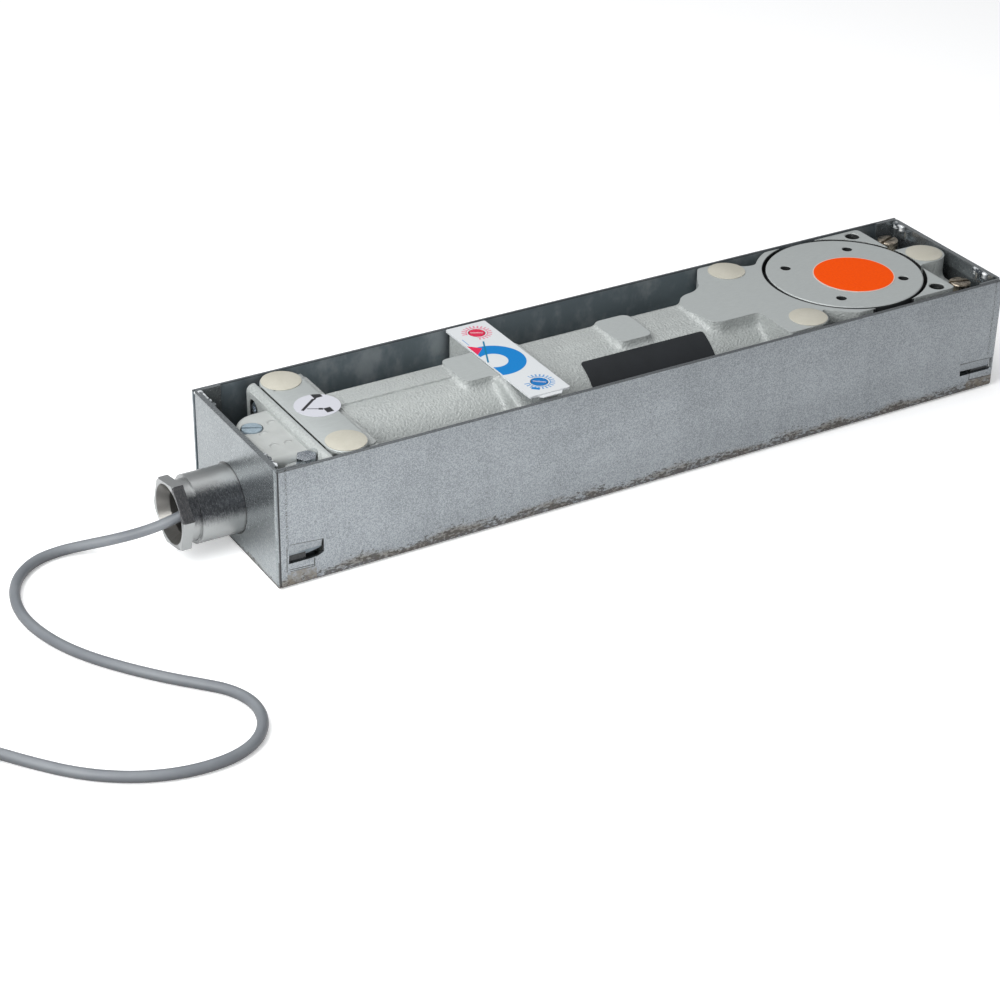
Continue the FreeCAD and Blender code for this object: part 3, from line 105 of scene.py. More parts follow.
def srgb(red: int, green: int, blue: int) -> tuple[float, float, float, float]:
    """Turn a display colour into the linear colour that the shaders take.

    Args:
        red, green, blue: display values from 0 to 255.

    Returns:
        The linear red, green, blue and an alpha of 1.
    """
    linear = []
    for value in (red, green, blue):
        share = value / 255
        linear.append(share / 12.92 if share <= 0.04045 else ((share + 0.055) / 1.055) ** 2.4)
    return (linear[0], linear[1], linear[2], 1.0)


def corners(node: str) -> tuple[Vector, Vector]:
    """Lowest and highest corner of a CAD node in millimetres."""
    low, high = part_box(node)
    return low / MM, high / MM


def spot(node: str) -> Triple:
    """Middle in plan and radius of a round CAD node in millimetres."""
    low, high = corners(node)
    return (low.x + high.x) / 2, (low.y + high.y) / 2, (high.x - low.x) / 2


class Value:
    """A number that varies over a surface, written in plain expressions."""

    def __init__(self, graph: "Graph", socket: bpy.types.NodeSocket) -> None:
        """Wrap an output socket of the graph's tree."""
        self.graph = graph
        self.socket = socket

    def _math(self, operation: str, *others: Union["Value", float]) -> "Value":
        """Add one Math node that takes this value first."""
        out = self.graph.node("ShaderNodeMath", {"operation": operation},
                              {i: v for i, v in enumerate((self, *others))})
        return Value(self.graph, out.outputs[0])

    def __add__(self, other: Union["Value", float]) -> "Value":
        """Sum."""
        return self._math("ADD", other)

    __radd__ = __add__

    def __sub__(self, other: Union["Value", float]) -> "Value":
        """Difference."""
        return self._math("SUBTRACT", other)

    def __rsub__(self, other: float) -> "Value":
        """Difference from a plain number."""
        return self._math("MULTIPLY", -1.0)._math("ADD", other)

    def __mul__(self, other: Union["Value", float]) -> "Value":
        """Product."""
        return self._math("MULTIPLY", other)

    __rmul__ = __mul__

    def __truediv__(self, other: Union["Value", float]) -> "Value":
        """Quotient."""
        return self._math("DIVIDE", other)

    def __pow__(self, other: float) -> "Value":
        """Power."""
        return self._math("POWER", other)

    def __abs__(self) -> "Value":
        """Size without sign."""
        return self._math("ABSOLUTE")

    def above(self, limit: float) -> "Value":
        """1 where the value is over the limit, else 0."""
        return self._math("GREATER_THAN", limit)

    def below(self, limit: float) -> "Value":
        """1 where the value is under the limit, else 0."""
        return self._math("LESS_THAN", limit)

    def most(self, other: Union["Value", float]) -> "Value":
        """The larger of two."""
        return self._math("MAXIMUM", other)

    def wrap(self, step: float) -> "Value":
        """The rest after whole steps, never negative."""
        return self._math("FLOORED_MODULO", step)

    def whole(self) -> "Value":
        """The next lower whole number."""
        return self._math("FLOOR")

    def turn(self, other: "Value") -> "Value":
        """Angle in radians whose tangent is this value over the other one."""
        return self._math("ARCTAN2", other)

    def ramp(self, low: float, high: float, start: float = 0.0, end: float = 1.0) -> "Value":
        """Go smoothly from start to end while the value goes from low to high."""
        out = self.graph.node("ShaderNodeMapRange", {"interpolation_type": "SMOOTHSTEP"},
                              {"Value": self, "From Min": low, "From Max": high,
                               "To Min": start, "To Max": end})
        return Value(self.graph, out.outputs[0])

    def within(self, low: float, high: float) -> "Value":
        """1 between two limits, else 0."""
        return self.above(low) * self.below(high)

    def band(self, low: float, high: float, soft: float = 0.1) -> "Value":
        """1 between two limits with soft ends, else 0."""
        return self.ramp(low - soft, low + soft) * self.ramp(high - soft, high + soft, 1, 0)

    def near(self, middle: float, full: float, gone: float) -> "Value":
        """1 up to a first distance from a middle, 0 beyond a second one."""
        return abs(self - middle).ramp(full, gone, 1, 0)


def any_of(*values: Value) -> Value:
    """The largest of several values."""
    return reduce(Value.most, values)


class Graph:
    """One material's node tree, with the coordinates and patterns that the finishes use."""

    def __init__(self, name: str) -> None:
        """Start a material with a bare Principled shader."""
        self.material = bpy.data.materials.new(name)
        self.material.use_nodes = True
        self.tree = self.material.node_tree
        self.shader = next(n for n in self.tree.nodes if n.type == "BSDF_PRINCIPLED")
        place = self.node("ShaderNodeTexCoord", {}, {})
        self.place = place.outputs["Object"]
        parts = self.node("ShaderNodeSeparateXYZ", {}, {"Vector": self.place})
        self.x, self.y, self.z = (Value(self, parts.outputs[i]) / MM for i in range(3))

    def node(self, kind: str, settings: dict, inputs: dict) -> bpy.types.Node:
        """Add any node.

        Args:
            kind: the node's type.
            settings: its own settings, set before its sockets.
            inputs: values or links by socket name or number.

        Returns:
            The new node.
        """
        made = self.tree.nodes.new(kind)
        for key, value in settings.items():
            setattr(made, key, value)
        for key, value in inputs.items():
            self.feed(made.inputs[key], value)
        return made

    def feed(self, socket: bpy.types.NodeSocket, value: object) -> None:
        """Link or set one socket."""
        if isinstance(value, Value):
            value = value.socket
        if isinstance(value, bpy.types.NodeSocket):
            self.tree.links.new(value, socket)
        else:
            socket.default_value = value

    def noise(self, size: float, detail: float = 2.0, rough: float = 0.5,
              stretch: Triple = (1.0, 1.0, 1.0)) -> Value:
        """Cloudy noise.

        Args:
            size: the width of its patches in millimetres.
            detail: how many finer layers it has.
            rough: how strong they are.
            stretch: how many times longer a patch is along each axis.

        Returns:
            The noise, about 0.5 in the middle.
        """
        coords = self.node("ShaderNodeMapping", {}, {
            "Vector": self.place, "Scale": tuple(1 / s for s in stretch)}).outputs[0]
        made = self.node("ShaderNodeTexNoise", {}, {
            "Vector": coords, "Scale": 1 / (size * MM), "Detail": detail, "Roughness": rough})
        return Value(self, made.outputs[0])

    def cells(self, size: float) -> Value:
        """Distance to the nearest of scattered points, in units of the cell."""
        made = self.node("ShaderNodeTexVoronoi", {"feature": "F1"},
                         {"Vector": self.place, "Scale": 1 / (size * MM)})
        return Value(self, made.outputs[0])

    def sway(self, base: float, *noises: tuple[Value, float]) -> Value:
        """A base value that each noise pushes up and down by its share."""
        total = base
        for noise, share in noises:
            total = (noise - 0.5) * share + total
        return total

    def mix(self, share: Union[Value, float], first: object,
            second: object) -> bpy.types.NodeSocket:
        """Mix two colours by a share from 0 to 1."""
        made = self.node("ShaderNodeMix", {"data_type": "RGBA"}, {0: share, 6: first, 7: second})
        return made.outputs[2]

    def distance(self, x: float, y: float) -> Value:
        """Distance in plan from a point."""
        across, along = self.x - x, self.y - y
        return (across * across + along * along) ** 0.5

    def reach(self, y: float, z: float) -> Value:
        """Distance from a line that runs along X."""
        across, up = self.y - y, self.z - z
        return (across * across + up * up) ** 0.5

    def angle(self, x: float, y: float) -> Value:
        """Angle in plan round a point, from minus half a turn to half a turn."""
        return (self.y - y).turn(self.x - x)

    def stroke(self, x0: float, y0: float, x1: float, y1: float, half: float,
               soft: float = 0.12, upright: bool = False) -> Value:
        """1 inside a straight stroke with flat ends, in plan or on a wall along X, else 0."""
        length = math.hypot(x1 - x0, y1 - y0)
        ux, uy = (x1 - x0) / length, (y1 - y0) / length
        other = self.z if upright else self.y
        along = (self.x - (x0 + x1) / 2) * ux + (other - (y0 + y1) / 2) * uy
        across = (other - (y0 + y1) / 2) * ux - (self.x - (x0 + x1) / 2) * uy
        inside = abs(along).ramp(length / 2 - soft, length / 2 + soft, 1, 0)
        return inside * abs(across).ramp(half - soft, half + soft, 1, 0)

    def strokes(self, rows: Sequence[tuple[float, ...]], upright: bool = False) -> Value:
        """1 inside any of several strokes, which are given as for one, else 0."""
        return any_of(*(self.stroke(*row, upright=upright) for row in rows))

    def relief(self, height: Value, depth: float, edge: float = 0.0) -> bpy.types.NodeSocket:
        """Bump a surface.

        Args:
            height: the height, from 0 to 1.
            depth: what 1 means in millimetres.
            edge: radius of the rounding of sharp edges, none where 0.

        Returns:
            The bent normal.
        """
        inputs = {"Height": height, "Distance": depth * MM, "Strength": 1.0}
        if edge:
            inputs["Normal"] = self.node("ShaderNodeBevel", {"samples": 4},
                                         {"Radius": edge * MM}).outputs[0]
        return self.node("ShaderNodeBump", {}, inputs).outputs[0]

    def finish(self, colour: object, rough: Union[Value, float], metal: Union[Value, float] = 0.0,
               normal: Optional[bpy.types.NodeSocket] = None, coat: float = 0.0,
               coat_rough: float = 0.1, specular: float = 0.5) -> bpy.types.Material:
        """Set the shader's sockets and hand back the material."""
        sockets = {"Base Color": colour, "Roughness": rough, "Metallic": metal,
                   "Coat Weight": coat, "Coat Roughness": coat_rough,
                   "Specular IOR Level": specular}
        if normal is not None:
            sockets["Normal"] = normal
        for name, value in sockets.items():
            self.feed(self.shader.inputs[name], value)
        return self.material


@dataclass(frozen=True)
class Finish:
    """The looks of a surface, which turn into a material."""

    name: str

    def make(self) -> bpy.types.Material:
        """Build the material.

        Returns:
            The finished material.
        """
        raise NotImplementedError


@dataclass(frozen=True)
class SheetFinish(Finish):
    """Zinc-coated sheet: fine grain, cloudy patches and brown marks near the foot.

    The near wall's painted shade lines along the lances' folds and edges and its dim patch are
    strokes, given by both ends and half the width. A rusty patch is given by its two ends and its
    top. Inside is where the inner faces of the walls lie, painted darker as shade with lighter
    painted reflections; behind is what lies between the end plates, painted black as shade.
    """

    light: tuple = srgb(172, 177, 181)
    dark: tuple = srgb(126, 131, 135)
    # painted shade: the inner faces of the walls are drawn darker
    inner: tuple = srgb(116, 126, 132)
    # dirt colour, also drawn for the painted shade lines along the lances
    dirt: tuple = srgb(58, 53, 48)
    stain: tuple = srgb(124, 116, 104)
    # near black of the painted shade on rims, lance lips and gaps
    shade_black: tuple = srgb(14, 16, 18)
    grain: float = 0.5
    rough: float = 0.42
    dirt_height: float = 11.0
    inside: Optional[Pair] = None
    wall: float = 0.9
    rim_z: float = 57.3
    # share of painted shade on the rim tops
    rim_shade: float = 0.75
    end_step: float = 3.2
    # line of painted shade round the gland on the end plate: y, z and radius
    ring: Optional[Triple] = None
    ring_x: float = -300.0
    # span painted black as shade between the end plates, with its heights below
    behind: Optional[Pair] = None
    behind_z: Pair = (8.0, 21.5)
    ends: Optional[Pair] = None
    dots_z: float = 18.0
    # painted shade lines along the lances' folds and edges
    lance_shade_lines: tuple[tuple[float, ...], ...] = (
        (-325.8, 8.8, -314.2, 8.2, 0.22), (-325.8, 7.9, -314.2, 7.3, 0.2),
        (-314.1, 11.6, -314.1, 7.3, 0.3), (-327.3, 8.0, -327.0, 20.0, 0.2),
        (-325.6, 21.1, -309.4, 19.7, 0.16), (41.6, 16.7, 61.6, 15.8, 0.2),
        (48.3, 6.6, 63.0, 5.8, 0.3), (48.4, 9.8, 48.4, 6.6, 0.25), (61.9, 16.0, 61.9, 10.0, 0.22))
    rusty: tuple[Triple, ...] = ((-327.2, -313.2, 7.4), (47.0, 63.0, 6.0))
    dim: tuple[float, ...] = (42.0, 14.0, 61.3, 13.2, 2.4, 0.3)
    floor_z: float = 1.0
    # heights of the painted shadow in the lance openings
    lip_shadow_z: Pair = (3.0, 10.55)
    high_lip_shadow: Pair = (-200.0, 13.5)

    def make(self) -> bpy.types.Material:
        """Build the material from grain, foot dirt, near-wall marks and painted shade in gaps and
        inside.
        """
        g = Graph(self.name)
        grain = g.noise(self.grain, 3.0, 0.65)
        patch = g.noise(34.0, 3.0, 0.6)
        veil = g.noise(9.0, 2.0, 0.6, (1.0, 1.0, 4.0))
        tone = g.sway(0.5, (grain, 2.5), (patch, 0.45), (veil, 0.25))
        colour = g.mix(tone.ramp(0.0, 1.0), self.dark, self.light)
        specks = g.cells(2.6).ramp(0.10, 0.16, 1, 0) * g.noise(11.0).ramp(0.5, 0.62)
        colour = g.mix(specks * 0.4, colour, self.dirt)
        reach = g.noise(26.0, 2.0, 0.5, (1.0, 1.0, 30.0)).ramp(0.3, 0.7, 0.7, 1.3)
        low = (g.z / (reach * self.dirt_height)).ramp(0.0, 1.0, 1, 0)
        crumbs = g.noise(1.3, 3.0, 0.7, (1.7, 1.7, 0.9))
        dirt = (crumbs + low * 0.3).ramp(0.66, 0.78) * low.ramp(0.0, 0.25)
        veiled = low.ramp(0.3, 0.75) * g.noise(4.0, 3.0, 0.6, (3.0, 3.0, 1.0)).ramp(0.35, 0.6)
        colour = g.mix(veiled * 0.62, colour, self.stain)
        if self.ends:
            rows = any_of(*(g.x.near(end, 0.25, 0.75) for end in self.ends))
            dots = g.noise(0.8, 2.0, 0.7, (1.0, 1.0, 0.6)).ramp(0.5, 0.56)
            dirt = dirt.most(rows * dots * 0.8 * g.z.above(self.dots_z))
        colour = g.mix(dirt * 0.8, colour, self.dirt)
        # painted shade on the rim tops
        shade_mask = g.z.above(self.rim_z) * self.rim_shade
        if self.inside:
            near, far = self.inside
            outer = g.y.below(near - self.wall)
            # painted shade lines along the lances, in the dirt colour
            colour = g.mix(outer * g.strokes(self.lance_shade_lines, True) * 0.75, colour, self.dirt)
            foot = any_of(*(g.x.within(x0, x1) * g.z.below(top) for x0, x1, top in self.rusty))
            rust = outer * foot * g.noise(2.0, 3.0, 0.7).ramp(0.3, 0.6)
            colour = g.mix(rust * 0.7, colour, self.stain)
            colour = g.mix(outer * g.stroke(*self.dim, upright=True) * 0.45, colour, self.dirt)
            # painted shade on the inner faces, with lighter patches as painted reflections
            clouds = g.noise(18.0, 4.0, 0.65, (1.0, 1.0, 1.5)).ramp(0.44, 0.7)
            shade = g.mix(clouds * 0.6, self.inner, self.light)
            colour = g.mix(g.y.within(near, far) * g.z.above(self.floor_z), colour, shade)
            # painted shadow in the lance openings, under the tongues
            lip = g.y.within(near - self.wall, near + 0.1) * g.z.above(self.lip_shadow_z[0])
            high = g.x.below(self.high_lip_shadow[0]) * g.z.below(self.high_lip_shadow[1])
            shade_mask = shade_mask.most(lip * g.z.below(self.lip_shadow_z[1]).most(high))
            if self.ends:
                # the outer walls' last strip at the left end is painted black too
                shade_mask = shade_mask.most(outer * g.x.below(self.ends[0] - self.end_step))
        # painted shade: black between the end plates, low down
        if self.behind:
            shade_mask = shade_mask.most(g.x.within(*self.behind) * g.z.within(*self.behind_z))
        # painted shade: a black line round the gland where it meets the plate
        if self.ring:
            y, z, radius = self.ring
            line = g.reach(y, z).near(radius + 0.35, 0.3, 0.5)
            shade_mask = shade_mask.most(line * g.x.below(self.ring_x))
        colour = g.mix(shade_mask * 0.93, colour, self.shade_black)
        rough = g.sway(self.rough, (grain, 0.22)) + dirt * 0.35
        metal = 0.86 - dirt.most(shade_mask) * 0.75
        return g.finish(colour, rough, metal, g.relief(grain * 0.6 + dirt * 0.8, 0.05))


@dataclass(frozen=True)
class CastFinish(Finish):
    """Grey-coated casting: pebbled skin below, smooth machined tops."""

    skin: tuple = srgb(173, 177, 175)
    shade: tuple = srgb(150, 154, 153)
    top: tuple = srgb(177, 182, 181)
    # near black of the painted shade in bores, arches and seam
    shade_black: tuple = srgb(20, 22, 24)
    machined_z: float = 57.25
    # hollows painted dark as shade, as x, y and radius, between the heights below
    shaded_hollows: tuple[Triple, ...] = ()
    hollow_shade_top: float = 57.0
    hollow_shade_low: float = 49.0
    arches: tuple[Pair, ...] = ()
    arch_x: float = 0.0
    arch_deep: float = 8.0
    arch_half: float = 4.4
    arch_drop: float = 5.2
    seam: Optional[Pair] = None
    seam_z: Pair = (40.0, 57.0)

    def make(self) -> bpy.types.Material:
        """Build the material, with painted shade in the bores, arches and seam."""
        g = Graph(self.name)
        pebble = g.noise(1.1, 2.0, 0.5)
        fine = g.noise(0.5, 2.0, 0.6)
        cloud = g.noise(22.0, 2.0, 0.5)
        tone = g.sway(0.58, (pebble, 1.3), (cloud, 0.6))
        colour = g.mix(tone.ramp(0.0, 1.0), self.shade, self.skin)
        flat = g.z.above(self.machined_z)
        marks = g.noise(0.7, 2.0, 0.6, (6.0, 1.0, 1.0)).ramp(0.2, 0.8)
        colour = g.mix(flat, colour, g.mix(0.72, g.mix(marks, self.shade, self.top), self.top))
        # painted shade in the bores and pockets
        dark = [g.distance(x, y).below(radius) * g.z.within(self.hollow_shade_low, self.hollow_shade_top)
                for x, y, radius in self.shaded_hollows]
        # painted shade in the unit's arched windows
        for y, z in self.arches:
            arch = g.reach(y, z).below(self.arch_half).most(
                abs(g.y - y).below(self.arch_half) * g.z.within(z - self.arch_drop, z))
            dark.append(arch * g.x.within(self.arch_x, self.arch_x + self.arch_deep))
        # painted shade in the seam at the bridge
        if self.seam:
            dark.append(g.x.within(*self.seam) * g.z.within(*self.seam_z))
        colour = g.mix(any_of(*dark) * 0.94, colour, self.shade_black)
        rough = g.sway(0.34, (fine, 0.12)) + flat * 0.08
        height = pebble * (1.0 - flat) + fine * 0.08
        return g.finish(colour, rough, flat * 0.22 + 0.05, g.relief(height, 0.6, 0.55),
                        coat=0.15, coat_rough=0.25)


@dataclass(frozen=True)
class MetalFinish(Finish):
    """Bare or plated metal with fine tool marks along one axis."""

    light: tuple
    dark: tuple
    rough: float = 0.28
    mark: float = 0.5
    along: Triple = (1.0, 1.0, 1.0)
    blotch: float = 0.25
    metal: float = 1.0
    depth: float = 0.02

    def make(self) -> bpy.types.Material:
        """Build the material from marks and blotches."""
        g = Graph(self.name)
        marks = g.noise(self.mark, 3.0, 0.6, self.along)
        blotch = g.noise(3.5, 3.0, 0.65)
        tone = g.sway(0.5, (marks, 1.2), (blotch, self.blotch * 4))
        colour = g.mix(tone.ramp(0.05, 0.95), self.dark, self.light)
        rough = g.sway(self.rough, (marks, 0.18), (blotch, 0.2))
        return g.finish(colour, rough, self.metal, g.relief(marks, self.depth, 0.25))


@dataclass(frozen=True)
class SoftFinish(Finish):
    """Moulded plastic, rubber, film or pad: one colour with slight clouds and grain."""

    colour: tuple
    other: tuple
    rough: float = 0.4
    grain: float = 0.6
    depth: float = 0.01
    edge: float = 0.2

    def make(self) -> bpy.types.Material:
        """Build the material from clouds and grain."""
        g = Graph(self.name)
        grain = g.noise(self.grain, 2.0, 0.6)
        tone = g.sway(0.5, (grain, 0.8), (g.noise(7.0, 2.0, 0.5), 1.4))
        colour = g.mix(tone.ramp(0.0, 1.0), self.colour, self.other)
        return g.finish(colour, g.sway(self.rough, (grain, 0.15)), 0.0,
                        g.relief(grain, self.depth, self.edge), coat_rough=0.15)


@dataclass(frozen=True)
class CoverFinish(Finish):
    """Moulded off-white cover with a few shallow crescents."""

    colour: tuple = srgb(174, 177, 175)
    other: tuple = srgb(166, 169, 167)
    # colour of the painted shade along one side of each crescent
    line: tuple = srgb(110, 112, 110)
    marks: tuple[Pair, ...] = ((-310.2, 2.4), (-317.6, -5.0), (-318.2, -16.8), (-311.6, -17.2))
    mark_z: float = 53.0

    def make(self) -> bpy.types.Material:
        """Build the material, with each crescent pressed in and painted shade along one side of it.
        """
        g = Graph(self.name)
        grain = g.noise(0.8, 2.0, 0.6)
        height = grain * 0.05
        top = g.z.above(self.mark_z)
        colour = g.mix(g.noise(8.0, 2.0, 0.5).ramp(0.3, 0.7), self.other, self.colour)
        for x, y in self.marks:
            out = g.distance(x, y)
            height = height + out.near(1.7, 0.15, 0.75) * (g.y - y).ramp(-0.3, 0.9) * top
            # painted shade along one side of the crescent
            rim = out.near(1.9, 0.1, 0.4) * (g.y - y - g.x + x).ramp(0.0, 2.0)
            colour = g.mix(rim * top * 0.4, colour, self.line)
        return g.finish(colour, g.sway(0.32, (grain, 0.12)), 0.0, g.relief(height, 0.3),
                        coat=0.3, coat_rough=0.2)


@dataclass(frozen=True)
class HeadFinish(Finish):
    """Lacquered screw head with a pale slot, painted light against the slot's shade."""

    colour: tuple
    other: tuple
    x: float
    y: float
    turn: float
    # pale painted light in the slot, against its shade
    pale: tuple = srgb(232, 222, 226)
    slot: Pair = (3.0, 0.5)

    def make(self) -> bpy.types.Material:
        """Build the material."""
        g = Graph(self.name)
        grain = g.noise(0.6, 2.0, 0.6)
        colour = g.mix(grain.ramp(0.2, 0.8), self.other, self.colour)
        turn = math.radians(self.turn)
        reach, half = self.slot
        dx, dy = reach * math.cos(turn), reach * math.sin(turn)
        # the slot, drawn in its painted colour
        slot = g.stroke(self.x - dx, self.y - dy, self.x + dx, self.y + dy, half)
        return g.finish(g.mix(slot, colour, self.pale), g.sway(0.45, (grain, 0.1)), 0.0,
                        g.relief(grain, 0.01, 0.15), specular=0.3)


@dataclass(frozen=True)
class GlandFinish(Finish):
    """Nickel-plated gland: satin, with painted reflection bands along it by how its round and flat
    sides face.
    """

    y: float = 3.0
    z: float = 21.7
    # tones of the painted reflection bands
    light: tuple = srgb(166, 168, 168)
    dark: tuple = srgb(54, 56, 60)
    # painted shade in the bore
    inner: tuple = srgb(98, 94, 88)
    bore: float = 13.7
    faces: float = 0.0
    first: float = -11.0

    def make(self) -> bpy.types.Material:
        """Build the material, with the painted reflection bands in steps of one face where the
        piece has flat sides.
        """
        g = Graph(self.name)
        turn = ((g.y - self.y) * -1.0).turn(g.z - self.z) * (180 / math.pi)
        if self.faces:
            turn = ((turn - self.first) / self.faces + 0.5).whole() * self.faces + self.first
        # painted reflections: a dark band on the near side and a darker underside, by the angle
        # round the axis
        side = turn.ramp(18.0, 46.0) * turn.ramp(74.0, 102.0, 1, 0)
        under = turn.ramp(126.0, 150.0)
        streak = g.noise(0.7, 3.0, 0.65, (0.1, 1.0, 1.0))
        satin = g.noise(0.22, 2.0, 0.6, (0.4, 6.0, 6.0))
        blotch = g.noise(1.5, 4.0, 0.75, (0.5, 1.0, 1.0))
        tone = g.sway(1.0, (satin, 0.6), (streak, 0.7), (blotch, 0.8)) - side * 0.84 - under * 0.4
        colour = g.mix(tone.ramp(0.0, 1.0), self.dark, self.light)
        # painted shade in the bore and its mouth
        bore = g.reach(self.y, self.z).below(self.bore)
        colour = g.mix(bore * 0.75, colour, self.inner)
        return g.finish(colour, g.sway(0.34, (satin, 0.2)), 0.85, g.relief(satin, 0.01, 0.25))


@dataclass(frozen=True)
class StickerFinish(Finish):
    """Round printed film with a thin pale edge."""

    x: float
    y: float
    radius: float
    ink: tuple = srgb(237, 80, 2)
    ink_deep: tuple = srgb(231, 74, 1)
    paper: tuple = srgb(206, 186, 176)
    margin: float = 0.45
    soft: float = 0.1

    def make(self) -> bpy.types.Material:
        """Build the material."""
        g = Graph(self.name)
        grain = g.noise(1.2, 2.0, 0.5)
        ink = g.mix(grain.ramp(0.3, 0.7), self.ink_deep, self.ink)
        rim = self.radius - self.margin
        edge = g.distance(self.x, self.y).ramp(rim - self.soft, rim + self.soft)
        return g.finish(g.mix(edge, ink, self.paper), g.sway(0.6, (grain, 0.1)), 0.0,
                        g.relief(grain, 0.008), specular=0.06)


@dataclass(frozen=True)
class PictogramFinish(Finish):
    """Pale round film with a plain sign: a door leaf that stands open between two blocks.

    The sign's strokes are leaf, far block, near block, two parts of the swing and the handle,
    each from the film's middle.
    """

    x: float
    y: float
    paper: tuple = srgb(190, 191, 198)
    ink: tuple = srgb(24, 24, 28)
    sign: tuple[tuple[float, ...], ...] = (
        (-8.0, -1.4, 1.2, 6.0, 0.7), (1.7, 8.2, 5.9, 8.2, 1.95), (0.9, -6.05, 4.2, -6.05, 2.1),
        (-5.4, -0.8, -1.0, -3.2, 0.3), (-1.0, -3.2, 0.8, -4.2, 0.8), (1.0, 5.2, 3.4, 7.4, 0.5))

    def make(self) -> bpy.types.Material:
        """Build the material."""
        g = Graph(self.name)
        ink = g.strokes([(self.x + x0, self.y + y0, self.x + x1, self.y + y1, half)
                         for x0, y0, x1, y1, half in self.sign])
        grain = g.noise(1.0)
        return g.finish(g.mix(ink, self.paper, self.ink), g.sway(0.38, (grain, 0.1)), 0.0,
                        g.relief(grain, 0.008))


@dataclass(frozen=True)
class PlateFinish(Finish):
    """White instruction plate: two dials and a bent arrow that shows the closing sweep.

    Ring and arc are given by inner and outer radius, gaps by the directions in which the far
    and the near dial are open, and the arrow head by its start, its end and half its width.
    """

    valve_x: float
    far_y: float
    near_y: float
    left: float
    white: tuple = srgb(201, 204, 206)
    red: tuple = srgb(206, 36, 76)
    blue: tuple = srgb(0, 116, 184)
    teal: tuple = srgb(0, 110, 146)
    pale_red: tuple = srgb(206, 84, 116)
    pale_blue: tuple = srgb(40, 124, 184)
    ring: Pair = (5.0, 7.2)
    ticks: int = 22
    gaps: Pair = (-2.6, 2.4)
    arc: Pair = (6.7, 15.0)
    arc_shift: Pair = (4.0, -0.2)
    margin: float = 0.35
    head_step: float = 2.4
    head: Triple = (0.4, 5.6, 5.4)
    head_slope: float = 0.95

    def _dial(self, g: Graph, y: float, gap: float) -> Value:
        """Ring of short ticks round a screw, open on one side.

        Args:
            g: the material's graph.
            y: the screw's place across the box.
            gap: direction of the open side, in radians.

        Returns:
            1 on a tick, else 0.
        """
        out = g.distance(self.valve_x, y)
        turn = g.angle(self.valve_x, y)
        tick = abs((turn + math.pi).wrap(math.tau / self.ticks) - math.pi / self.ticks)
        marks = out.band(*self.ring) * tick.ramp(0.045, 0.075, 1, 0)
        away = abs((turn - gap + 3 * math.pi).wrap(math.tau) - math.pi).ramp(0.5, 0.56)
        return marks.most(out.near(self.ring[0], 0.18, 0.34)) * away

    def make(self) -> bpy.types.Material:
        """Build the material: dials, arc, arrow head, bar, wedge and one line."""
        g = Graph(self.name)
        colour = g.mix(self._dial(g, self.far_y, self.gaps[0]) * 0.8, self.white, self.pale_red)
        colour = g.mix(self._dial(g, self.near_y, self.gaps[1]) * 0.8, colour, self.pale_blue)
        left, middle = self.left, (self.far_y + self.near_y) / 2 + self.arc_shift[1]
        arc = g.distance(left + self.arc_shift[0], middle).band(*self.arc) \
            * (g.x - left).above(self.margin)
        tip = middle + sum(self.arc) / 2 + self.head_step
        start, end, wide = self.head
        head = g.x.within(left + start, left + end) \
            * (wide - (g.x - left) * self.head_slope - abs(g.y - tip)).above(0.0)
        bar = g.stroke(left + 0.8, middle - 0.6, left + 9.6, middle + 19.0, 0.42)
        wedge = g.stroke(self.valve_x - 6.2, self.near_y - 3.6, self.valve_x - 3.4,
                         self.near_y - 6.2, 1.0)
        line = g.stroke(left + 1.8, self.far_y - 9.6, left + 1.8, self.far_y - 3.0, 0.16)
        for mark, ink in ((arc, self.blue), (head, self.red), (bar, self.teal),
                          (wedge.most(line), self.blue)):
            colour = g.mix(mark, colour, ink)
        grain = g.noise(0.9)
        return g.finish(colour, g.sway(0.5, (grain, 0.1)), 0.0, g.relief(grain, 0.006, 0.15),
                        specular=0.2)


@dataclass(frozen=True)
class CordFinish(Finish):
    """Soft grey sheath with a faint sheen and painted shade on its underside towards the floor."""

    colour: tuple = srgb(114, 118, 122)
    other: tuple = srgb(102, 106, 111)
    # painted shade on the underside: its colour and the heights it fades over
    under: tuple = srgb(44, 46, 50)
    underside_shade_z: Pair = (0.4, 5.2)

    def make(self) -> bpy.types.Material:
        """Build the material."""
        g = Graph(self.name)
        grain = g.noise(0.5, 2.0, 0.6)
        scuff = g.noise(2.2, 3.0, 0.7).ramp(0.6, 0.72) * 0.25
        colour = g.mix(g.noise(18.0, 2.0, 0.5).ramp(0.3, 0.7), self.other, self.colour)
        colour = g.mix(scuff, colour, self.other)
        # painted shade on the underside, towards the floor
        colour = g.mix(g.z.ramp(*self.underside_shade_z), self.under, colour)
        return g.finish(colour, g.sway(0.46, (grain, 0.12)), 0.0, g.relief(grain, 0.012))


